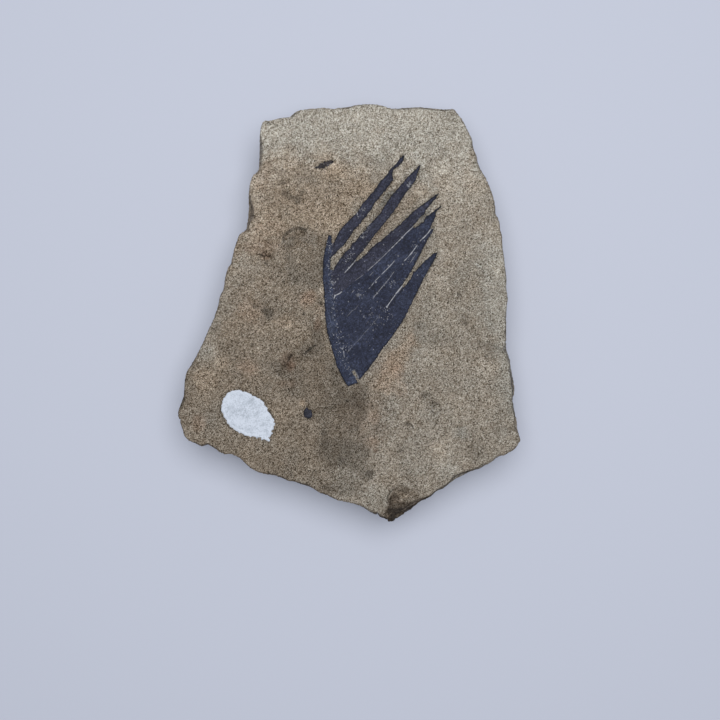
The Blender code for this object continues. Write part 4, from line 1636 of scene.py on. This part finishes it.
    def fit_edge(self, mesh: bpy.types.Mesh) -> None:
        """Move the broken sides so that, looked at from straight above, they end at the edge line.

        Args:
            mesh: the slab's shaped mesh.
        """
        eye = np.array(self.eye)
        ring = EDGE + EDGE[:1]
        outward = self.outward(ring)
        bins = len(outward)
        points = places(mesh)
        beyond, along, _ = line_places(points[:, :2], ring)
        place = np.minimum((along / self.edge_bin).astype(int), bins - 1)
        hollow = self.undercut * np.clip(1.0 - points[:, 2] / self.undercut_height, 0.0, 1.0)
        hollow *= 1.0 + self.undercut_wave.at(points[:, :2])
        share = 1.0 - smoothstep(*self.undercut_reach, -beyond)
        points[:, :2] -= (hollow * share)[:, None] * outward[place]
        for _ in range(self.edge_rounds):
            nearer = (eye[2] - self.face_level) / (eye[2] - points[:, 2])
            seen = eye[:2] + (points[:, :2] - eye[:2]) * nearer[:, None]
            beyond, along, _ = line_places(seen, ring)
            place = np.minimum((along / self.edge_bin).astype(int), bins - 1)
            farthest = np.full(bins, -np.inf)
            np.maximum.at(farthest, place, beyond)
            known = np.flatnonzero(farthest > -self.edge_reach)
            farthest = np.interp(np.arange(bins), known, farthest[known], period=bins)
            farthest = 0.25 * np.roll(farthest, 1) + 0.5 * farthest + 0.25 * np.roll(farthest, -1)
            farthest -= self.edge_margin
            share = 1.0 - smoothstep(self.edge_fade, self.edge_reach, farthest[place] - beyond)
            points[:, :2] += -(farthest[place] * share / nearer)[:, None] * outward[place]
        set_places(mesh, points)

    def shape(self, mesh: bpy.types.Mesh) -> None:
        """Break and weather the surface.

        Args:
            mesh: the slab's fine mesh.
        """
        points = places(mesh)
        normals = vertex_normals(mesh)
        kinds = self.kinds(normals)
        plan = points[:, :2]
        broken = kinds[Face.BROKEN]

        swell = self.swell.at(plan) + self.ripple.at(plan)
        points[:, 2] += kinds[Face.BEDDING] * (self.face_lift + swell)

        bed = np.floor(points[:, 2] / self.ledge_mm + self.bed_wave.at(plan))
        ledges = np.column_stack([plan / self.ledge_length_mm, self.bed_seed_step * bed])
        creases = self.crease_level - np.abs(self.crease.at(points))
        rough = creases + self.ledge.at(ledges)
        steep = 1.0 - smoothstep(*self.calm_heights, points[:, 2])
        rough *= self.calm_share + (1.0 - self.calm_share) * steep
        fracture = self.grow + rough + self.grit.at(points)
        crumble = 4.0 * broken * (1.0 - broken) * np.maximum(self.crumble.at(points), 0.0)
        rim = self.rim(broken, points[:, 2])
        step = broken * fracture + self.sharpen * rim - self.crumble_mm * crumble
        points += normals * step[:, None]
        pits = np.maximum(self.pits.at(plan), 0.0)
        points[:, 2] += kinds[Face.UNDERSIDE] * self.pit_mm * pits
        set_places(mesh, points)

    def thin_underside(self, slab: bpy.types.Object) -> None:
        """Join small faces of the flat underside, which need no such fine mesh.

        Args:
            slab: the slab's object.
        """
        low = places(slab.data)[:, 2] < self.underside_height
        flat = np.flatnonzero(low & (vertex_normals(slab.data)[:, 2] < -self.underside_facing))
        group = slab.vertex_groups.new(name="underside")
        group.add(flat.tolist(), 1.0, "REPLACE")
        thin = slab.modifiers.new("thin underside", "DECIMATE")
        thin.vertex_group = group.name
        thin.ratio = self.underside_share
        finish_mesh(slab)

    def keep_inside(self, mesh: bpy.types.Mesh) -> None:
        """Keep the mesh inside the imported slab's box, but for the headroom above its face."""
        low, high = (np.array(corner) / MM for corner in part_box(self.node))
        set_places(mesh, np.clip(places(mesh), low, high + np.array([0.0, 0.0, self.headroom])))

    def stain(self, mesh: bpy.types.Mesh) -> None:
        """Paint the stone's stains, painted shade and streaks into its vertices.

        Args:
            mesh: the shaped mesh.
        """
        points = places(mesh)
        kinds = self.kinds(vertex_normals(mesh))
        plan = points[:, :2]
        ragged = self.stain_border.at(plan)
        # The broken corner slopes down from the face, and is stained like it.
        near, fallen = self.chip(plan)
        height = points[:, 2] + self.stain_foot.at(points)
        height += np.where(near & (points[:, 2] > self.chip_stain_foot), fallen, 0.0)
        high_up = smoothstep(*self.stained_heights, height)
        shown = self.stained_sides + (1.0 - self.stained_sides) * high_up
        totals = np.tile(np.array(astuple(self.base_tint))[:, None], len(points))
        for stain in STAINS_AND_SHADE:
            cover = stain.cover(plan, ragged) * shown
            totals += cover * np.array(astuple(stain.tint))[:, None]
        shade, ochre, rust = totals
        # Painted shade on the sides and in broken stretches along the upper rim, on top of darker
        # weathered stone and dirt.
        below = 1.0 - kinds[Face.BEDDING]
        rim = self.rim(kinds[Face.BROKEN], points[:, 2])
        rim_shade_stretches = np.clip(0.5 + self.rim_shade_stretch.at(points), 0.0, 1.0)
        shade += self.side_crust_and_shade_tint.shade * below + self.rim_shade_and_dirt_tint.shade * rim * rim_shade_stretches
        ochre += self.side_crust_and_shade_tint.ochre * below
        paint(mesh, "shade", shade)
        paint(mesh, "ochre", ochre)
        paint(mesh, "rust", rust)
        paint(mesh, "side", kinds[Face.BROKEN])
        paint(mesh, "grain_tone", np.zeros(len(points)))
        paint_streaks(mesh, STONE_STREAKS, high_up)

    def grain_tree(self) -> bpy.types.NodeTree:
        """Build the tree that scatters coarse grains over the stone and joins them to it.

        Returns:
            The tree, with an input for each value that the modifier sets.
        """
        tree = bpy.data.node_groups.new("coarse grains", "GeometryNodeTree")
        kinds = {"Geometry": "Geometry", "Grains per square metre": "Float", "Smallest grain": "Float"}
        kinds |= {"Largest grain": "Float", "Seed": "Int", "Stone": "Material"}
        for name, kind in kinds.items():
            tree.interface.new_socket(name, in_out="INPUT", socket_type=f"NodeSocket{kind}")
        tree.interface.new_socket("Geometry", in_out="OUTPUT", socket_type="NodeSocketGeometry")
        given = add_node(tree, "NodeGroupInput").outputs

        bare = add_node(tree, "GeometryNodeInputNamedAttribute", {"Name": "bare"}, data_type="FLOAT")
        is_bare = {"data_type": "FLOAT", "operation": "GREATER_THAN"}
        ground = {
            "Mesh": given["Geometry"],
            "Selection": add_node(tree, "FunctionNodeCompare", (bare, self.bare_share), **is_bare),
            "Density": given["Grains per square metre"],
            "Seed": given["Seed"],
        }
        spots = add_node(tree, "GeometryNodeDistributePointsOnFaces", ground)
        low, high = (
            add_node(tree, "ShaderNodeCombineXYZ", [given[name]] * 3)
            for name in ("Smallest grain", "Largest grain")
        )
        sizes = {"Min": low, "Max": high, "Seed": given["Seed"]}
        turns = {"Min": (0.0,) * 3, "Max": (math.tau,) * 3, "Seed": given["Seed"]}
        size, turn = (
            add_node(tree, "FunctionNodeRandomValue", limits, data_type="FLOAT_VECTOR")
            for limits in (sizes, turns)
        )
        grain = {
            "Points": spots,
            "Instance": add_node(tree, "GeometryNodeMeshUVSphere", (*self.grain_cuts, 1.0)),
            "Rotation": add_node(tree, "FunctionNodeEulerToRotation", (turn,)),
            "Scale": size,
        }
        laid = add_node(tree, "GeometryNodeInstanceOnPoints", grain)
        tones = dict(zip((2, 3), self.grain_tones))
        tone = add_node(tree, "FunctionNodeRandomValue", tones, data_type="FLOAT")
        stored = {"Geometry": laid, "Name": "grain_tone", "Value": tone.outputs[1]}
        kept = {"data_type": "FLOAT", "domain": "INSTANCE"}
        toned = add_node(tree, "GeometryNodeStoreNamedAttribute", stored, **kept)
        joined = add_node(tree, "GeometryNodeJoinGeometry", (given["Geometry"],))
        tree.links.new(toned.outputs[0], joined.inputs[0])
        real = add_node(tree, "GeometryNodeRealizeInstances", (joined,))
        stone = {"Geometry": real, "Material": given["Stone"]}
        dressed = add_node(tree, "GeometryNodeSetMaterial", stone)
        add_node(tree, "NodeGroupOutput", (dressed,))
        return tree

    def scatter_grains(self, slab: bpy.types.Object, stone: bpy.types.Material) -> None:
        """Stand coarse grains in the open stone, and dress the slab.

        Args:
            slab: the shaped and stained slab.
            stone: the slab's finish.
        """
        modifier = slab.modifiers.new("coarse grains", "NODES")
        modifier.node_group = self.grain_tree()
        values = {
            "Grains per square metre": self.grains_per_mm2 / (MM * MM),
            "Smallest grain": self.grain_sizes_mm[0] * MM,
            "Largest grain": self.grain_sizes_mm[1] * MM,
            "Seed": self.grain_seed,
            "Stone": stone,
        }
        for socket in modifier.node_group.interface.items_tree:
            if socket.in_out == "INPUT" and socket.name in values:
                modifier[socket.identifier] = values[socket.name]
        finish_mesh(slab)

    def build(self, frame: Mapping[str, Any]) -> bpy.types.Object:
        """Build the slab without its grains.


        Returns:
            The slab's object.
        """
        slab = new_object("split_sandstone_slab", merged_copy(frame["nodes"][self.node]))
        self.even_cells(slab)
        self.mend_corner(slab.data)
        self.even_cells(slab)
        self.shape(slab.data)
        self.thin_underside(slab)
        self.fit_edge(slab.data)
        self.keep_inside(slab.data)
        self.stain(slab.data)
        return slab

    def dress(self, slab: bpy.types.Object, covered: Iterable[np.ndarray]) -> None:
        """Add the grains and the finish, and hang the slab on its body.

        Args:
            slab: the built slab.
            covered: outlines of what lies on the face, where no grain stands.
        """
        plan = places(slab.data)[:, :2]
        facing_up = vertex_normals(slab.data)[:, 2]
        bare = (facing_up > self.grain_facing).astype(float)
        soot = np.zeros(len(plan))
        uneven = np.clip(0.5 + self.soot_wave.at(plan), 0.0, 1.0)
        for outline in covered:
            inside = border_distance(plan, outline)
            bare[(inside > -self.grain_margin) & (facing_up > self.covered_facing)] = 0.0
            soot = np.maximum(soot, self.soot * smoothstep(*self.soot_border, inside) * uneven)
        paint(slab.data, "bare", bare)
        paint(slab.data, "soot", soot)
        self.scatter_grains(slab, SplitSandstone().build())
        self.keep_inside(slab.data)
        slab.data.shade_smooth()
        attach(slab, BODY)
        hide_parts(self.node)
        LOG.info("%s: %d faces", slab.name, len(slab.data.polygons))


# --- the films ---


@dataclass
class Sheet:
    """A flat sheet of triangles: places, triangles and how far inside its border each place is."""

    points: np.ndarray
    triangles: np.ndarray
    inside: np.ndarray


# A cut keeps clear of both ends of a triangle's side.
CUT_LIMITS = (0.1, 0.9)


def cut_sheet(points: np.ndarray, triangles: np.ndarray, inside: np.ndarray) -> Sheet:
    """Cut a sheet of triangles where a field crosses zero.

    Args:
        points: (n, 2) places.
        triangles: (m, 3) corners.
        inside: the field at each place; the sheet is kept where it is above zero.

    Returns:
        The sheet that is left, with new places along the cut.
    """
    kept_corners = (inside[triangles] > 0.0).sum(axis=1)
    faces = triangles[kept_corners == 3].tolist()
    new_points: list[np.ndarray] = []
    cuts: dict[tuple[int, int], int] = {}

    def cut(a: int, b: int) -> int:
        """Cut one side of a triangle, once for both of the triangles that share it.

        Args:
            a, b: the numbers of the side's places.

        Returns:
            The number of the place on the cut.
        """
        key = (min(a, b), max(a, b))
        if key not in cuts:
            share = float(np.clip(inside[a] / (inside[a] - inside[b]), *CUT_LIMITS))
            cuts[key] = len(points) + len(new_points)
            new_points.append(points[a] + share * (points[b] - points[a]))
        return cuts[key]

    for corners in triangles[(kept_corners == 1) | (kept_corners == 2)].tolist():
        while not (inside[corners[0]] > 0.0 >= inside[corners[2]]):
            corners = corners[1:] + corners[:1]
        a, b, c = corners
        if inside[b] > 0.0:
            faces += [[a, b, cut(b, c)], [a, cut(b, c), cut(a, c)]]
        else:
            faces.append([a, cut(a, b), cut(a, c)])
    all_points = np.vstack([points, np.array(new_points).reshape(-1, 2)])
    all_inside = np.concatenate([np.maximum(inside, 0.0), np.zeros(len(new_points))])
    used, packed = np.unique(np.array(faces).ravel(), return_inverse=True)
    return Sheet(all_points[used], packed.reshape(-1, 3), all_inside[used])


def without_crumbs(sheet: Sheet, smallest: int) -> Sheet:
    """Drop the loose bits of a sheet that have too few triangles.

    Args:
        sheet: the sheet.
        smallest: the fewest triangles that a loose bit keeps.

    Returns:
        The sheet without its smallest bits.
    """
    # Every place takes the lowest number of a place in its bit of the sheet.
    leader, before = np.arange(len(sheet.points)), None
    while before is None or (leader != before).any():
        before = leader.copy()
        np.minimum.at(leader, sheet.triangles, leader[sheet.triangles].min(axis=1)[:, None])
        leader = leader[leader]
    bits = leader[sheet.triangles[:, 0]]
    _, group, sizes = np.unique(bits, return_inverse=True, return_counts=True)
    kept = sheet.triangles[sizes[group] >= smallest]
    used, packed = np.unique(kept.ravel(), return_inverse=True)
    return Sheet(sheet.points[used], packed.reshape(-1, 3), sheet.inside[used])


def even_grid(outline: np.ndarray, spacing: float) -> tuple[np.ndarray, np.ndarray]:
    """Cover an outline, and a margin around it, with even triangles.

    Args:
        outline: the outline's corners, as (n, 2).
        spacing: the triangles' side.

    Returns:
        The places and the triangles, which run anticlockwise.
    """
    margin = 1.0
    low, high = outline.min(axis=0) - margin, outline.max(axis=0) + margin
    row_step = spacing * math.sqrt(0.75)
    columns = math.ceil((high[0] - low[0]) / spacing) + 2
    rows = math.ceil((high[1] - low[1]) / row_step) + 1
    row, column = np.mgrid[0 : rows + 1, 0 : columns + 1]
    x = low[0] + (column - 0.5 + 0.5 * (row % 2)) * spacing
    y = low[1] + row * row_step
    points = np.column_stack([x.ravel(), y.ravel()])
    first = (row * (columns + 1) + column)[:-1, :-1]
    odd = (row % 2)[:-1, :-1, None].astype(bool)
    right, above = first + 1, first + columns + 1
    beyond = above + 1
    lower = (first, right, beyond), (first, right, above)
    upper = (first, beyond, above), (right, beyond, above)
    halves = [np.where(odd, np.stack(a, -1), np.stack(b, -1)).reshape(-1, 3) for a, b in (lower, upper)]
    return points, np.concatenate(halves)


@dataclass
class StoneBed:
    """The slab's finished face, which films and paint are laid on."""

    tree: BVHTree
    above_mm: float = 50.0
    level: float = 15.0

    @classmethod
    def under(cls, slab: bpy.types.Object) -> StoneBed:
        """Read the face from the built slab.

        Args:
            slab: the slab's object.

        Returns:
            The bed.
        """
        mesh = slab.data
        corners = [vert.co.copy() for vert in mesh.vertices]
        faces = [tuple(face.vertices) for face in mesh.polygons]
        return cls(BVHTree.FromPolygons(corners, faces))

    def heights(self, points: np.ndarray) -> np.ndarray:
        """Measure the stone's height under many places.

        Args:
            points: (n, 2) places.

        Returns:
            The heights in millimetres, or the bed's usual level where nothing lies below.
        """
        down = Vector((0.0, 0.0, -1.0))
        found = []
        for x, y in points.tolist():
            start = Vector((x * MM, y * MM, self.above_mm * MM))
            hit = self.tree.ray_cast(start, down)[0]
            found.append(hit.z / MM if hit is not None else self.level)
        return np.array(found)


def laid_solid(name: str, sheet: Sheet, top: np.ndarray, bottom: np.ndarray) -> bpy.types.Object:
    """Make a closed solid from a sheet with a top and a bottom height at each place.

    Args:
        name: the new object's name.
        sheet: the flat sheet.
        top: the upper side's heights in millimetres.
        bottom: the lower side's heights.

    Returns:
        The new object.
    """
    count = len(sheet.points)
    corners = np.vstack([np.column_stack([sheet.points, level]) for level in (top, bottom)])
    edges = set()
    for a, b, c in sheet.triangles.tolist():
        edges |= {(a, b), (b, c), (c, a)}
    walls = [(a, a + count, b + count, b) for a, b in sorted(edges) if (b, a) not in edges]
    faces = sheet.triangles.tolist() + (sheet.triangles[:, ::-1] + count).tolist() + walls
    mesh = bpy.data.meshes.new(name)
    mesh.from_pydata((corners * MM).tolist(), [], faces)
    mesh.shade_smooth()
    mesh.set_sharp_from_angle(angle=math.radians(SHARP_EDGE_DEG))
    return new_object(name, mesh)


@dataclass
class CarbonFilm:
    """One piece of coalified plant on the bedding face."""

    node: str
    slot: str
    finish: CoalifiedFilm
    axis: tuple[Point, Point]
    ragged_mm: float = 0.15
    smallest_bit: int = 12
    spacing: float = 0.17

    # The border: where it lies to the node's, how ragged it is, and how films that touch overlap.
    inset: float = 0.12
    grow: float = 0.05
    border_reach: float = 1.0
    ragged: Unevenness = Unevenness(0.6, 83.0)
    nibbled: Unevenness = Unevenness(0.3, 84.0, 0.12, 1)
    touching: Point = (-0.75, -0.5)
    overlap: float = 0.2
    border_mm: float = 0.4

    # How it lies on the stone.
    proud: float = 0.015
    lift: float = 0.09
    edge_round: float = 0.3
    sunk: float = 0.15

    worn_wave: Unevenness = Unevenness(0.9, 101.0, octaves=2)
    dust_wave: Unevenness = Unevenness(1.1, 107.0, octaves=2)

    def joined(self, points: np.ndarray, outlines: Mapping[str, np.ndarray]) -> np.ndarray:
        """Tell where a neighbour lies against the film.

        Args:
            points: (n, 2) places near the film's border.
            outlines: the outlines of all films.

        Returns:
            A share for each place, 1 where the two films meet.
        """
        beside = np.full(len(points), -np.inf)
        for node, outline in outlines.items():
            if node != self.node:
                beside = np.maximum(beside, border_distance(points, outline))
        return smoothstep(*self.touching, beside)

    def sheet(self, outlines: Mapping[str, np.ndarray]) -> Sheet:
        """Cut the film's flat sheet to its outline, ragged where no neighbour touches it.

        Args:
            outlines: the outlines of all films.

        Returns:
            The flat sheet.
        """
        outline = outlines[self.node]
        points, triangles = even_grid(outline, self.spacing)
        inside = border_distance(points, outline) + self.inset + self.grow
        near = np.abs(inside) < self.border_reach
        joined = self.joined(points[near], outlines)
        ragged = self.ragged_mm * self.ragged.at(points[near]) + self.nibbled.at(points[near])
        inside[near] += joined * self.overlap + (1.0 - joined) * ragged
        return without_crumbs(cut_sheet(points, triangles, inside), self.smallest_bit)

    def build(self, bed: StoneBed, outlines: Mapping[str, np.ndarray]) -> bpy.types.Object:
        """Lay the film on the stone.

        Args:
            bed: the stone that carries it.
            outlines: the outlines of all films.

        Returns:
            The film's object.
        """
        sheet = self.sheet(outlines)
        points = sheet.points
        stone = bed.heights(points)
        joined = self.joined(points, outlines)
        rise = self.lift * smoothstep(0.0, self.edge_round, sheet.inside + self.overlap * joined)
        top = stone + self.proud + rise
        film = laid_solid(f"{self.node}_film", sheet, top, stone - self.sunk)
        foot, tip = (np.array(end) for end in self.axis)
        forward = (tip - foot) / np.hypot(*(tip - foot))
        worn, dusty = self.worn_wave.at(points), self.dust_wave.at(points)
        for name, values in (
            ("worn", np.max([spot.cover(points, worn) for spot in WORN_SPOTS], axis=0)),
            ("dust", np.max([dust.cover(points, dusty) for dust in DUST], axis=0)),
            ("border", (1.0 - joined) * (1.0 - smoothstep(0.0, self.border_mm, sheet.inside))),
            ("along", (points - foot) @ forward),
            ("across", (points - foot) @ np.array([-forward[1], forward[0]])),
        ):
            # The solid's two sides have the same places.
            paint(film.data, name, np.tile(values, 2))
        paint_streaks(film.data, LEAF_STREAKS)
        return film

    def dress(self, film: bpy.types.Object, finish: bpy.types.Material) -> None:
        """Give the film its finish and hang it on its body.

        Args:
            film: the built film.
            finish: its material.
        """
        film.data.materials.append(finish)
        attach(film, BODY)
        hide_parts(self.node)
        LOG.info("%s: %d faces", film.name, len(film.data.polygons))


@dataclass
class PaintPatch:
    """The bare dab of white paint where a collector would write."""

    node: str = "label_patch"
    slot: str = "white_paint"
    spacing: float = 0.2
    smallest_bit: int = 40

    # The border, which is more ragged on the torn side.
    inset: float = 0.12
    ragged_mm: float = 0.24
    ragged: Unevenness = Unevenness(0.7, 13.0)
    torn_side: Point = (0.75, -0.66)
    torn_mm: float = 0.3
    middle_mm: float = 0.1

    # How it lies on the stone: a ridge along the rim, brush marks, and thin places.
    proud: float = 0.015
    lift: float = 0.13
    edge_round: float = 0.3
    sunk: float = 0.15
    ridge: float = 0.08
    ridge_width: float = 0.25
    ridge_foot: Point = (0.3, 0.9)
    brush: Unevenness = Unevenness(0.9, 29.0, 0.02)
    brush_stretch: Point = (0.6, 1.0)
    thin: Unevenness = Unevenness(2.4, 37.0, 0.4)
    thin_level: float = 0.26

    def build(self, bed: StoneBed, outline: np.ndarray) -> bpy.types.Object:
        """Lay the paint on the stone.

        Args:
            bed: the stone that carries it.
            outline: the patch's outline.

        Returns:
            The patch's object.
        """
        points, triangles = even_grid(outline, self.spacing)
        away = points - outline.mean(axis=0)
        outwards = np.maximum(np.hypot(*away.T), self.middle_mm)
        torn = np.clip(away @ np.array(self.torn_side) / outwards, 0.0, 1.0)
        ragged = (self.ragged_mm + self.torn_mm * torn**3) * self.ragged.at(points)
        inside = border_distance(points, outline) + self.inset + ragged
        sheet = without_crumbs(cut_sheet(points, triangles, inside), self.smallest_bit)
        stone = bed.heights(sheet.points)
        rim = smoothstep(0.0, self.ridge_width, sheet.inside)
        rim *= 1.0 - smoothstep(*self.ridge_foot, sheet.inside)
        brush = self.brush.at(sheet.points * np.array(self.brush_stretch))
        rise = smoothstep(0.0, self.edge_round, sheet.inside) * (self.lift + brush)
        top = stone + self.proud + (rise + self.ridge * rim)
        patch = laid_solid("white_paint_patch", sheet, top, stone - self.sunk)
        worn = np.clip(self.thin_level + self.thin.at(sheet.points), 0.0, 1.0) * (1.0 - rim)
        paint(patch.data, "worn", np.tile(worn, 2))
        return patch

    def dress(self, patch: bpy.types.Object) -> None:
        """Give the patch its finish and hang it on its body.

        Args:
            patch: the built patch.
        """
        patch.data.materials.append(MattPaint().build())
        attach(patch, BODY)
        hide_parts(self.node)
        LOG.info("%s: %d faces", patch.name, len(patch.data.polygons))


UPPER_COAL = CoalifiedFilm("upper_leaf_coal", "#262839", "#343645")
LEAF_COAL = CoalifiedFilm("leaf_coal", "#22273b", "#2f3548")
STEM_COAL = CoalifiedFilm("stem_coal", "#272d42", "#383f52", vein_contrast=1.0)
SCRAP_COAL = CoalifiedFilm("scrap_coal", "#2b282c", "#3a3638", dusty_share=0.08, speck_contrast=1.1)
SPECK_COAL = CoalifiedFilm("speck_coal", "#272833", "#30323e")
COALS = (UPPER_COAL, LEAF_COAL, STEM_COAL, SCRAP_COAL, SPECK_COAL)

LEAF, LOOSE = "leaf_carbon", "loose_carbon"
FILMS = (
    CarbonFilm("rachis", "rachis_carbon", STEM_COAL, ((0.5, -16.5), (-4.9, 18.5))),
    CarbonFilm("leaflet_1", LEAF, UPPER_COAL, ((-3.8, 14.6), (13.3, 38.2))),
    CarbonFilm("leaflet_2", LEAF, UPPER_COAL, ((-3.8, 8.6), (17, 36))),
    CarbonFilm("leaflet_3", LEAF, UPPER_COAL, ((-3.6, 5.4), (21.2, 29.2))),
    CarbonFilm("leaflet_4", LEAF, LEAF_COAL, ((-3, 0), (21.9, 26.2))),
    CarbonFilm("leaflet_5", LEAF, LEAF_COAL, ((-1.7, -8), (20.1, 20.8))),
    CarbonFilm("leaflet_6", LEAF, LEAF_COAL, ((0.8, -13), (21, 15.1))),
    CarbonFilm("plant_fragment", LOOSE, SCRAP_COAL, ((-8.1, 35.2), (-3.7, 36.9)), 0.35, 6),
    CarbonFilm("carbon_speck", LOOSE, SPECK_COAL, ((-11, -23.2), (-8.8, -24.1))),
)


def main() -> None:
    """Build the plate's looks in order."""
    logging.basicConfig(level=logging.INFO, format="%(message)s")
    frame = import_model()
    Studio().build()

    slab_maker = SandstoneSlab()
    slab = slab_maker.build(frame)
    bed = StoneBed.under(slab)
    outlines = {maker.node: film_outline(frame["nodes"][maker.node]) for maker in FILMS}
    finishes = {coal: coal.build() for coal in COALS}
    for maker in FILMS:
        maker.dress(maker.build(bed, outlines), finishes[maker.finish])
    patch_maker = PaintPatch()
    patch_outline = film_outline(frame["nodes"][patch_maker.node])
    patch_maker.dress(patch_maker.build(bed, patch_outline))
    slab_maker.dress(slab, [*outlines.values(), patch_outline])


if __name__ == "__main__":
    main()
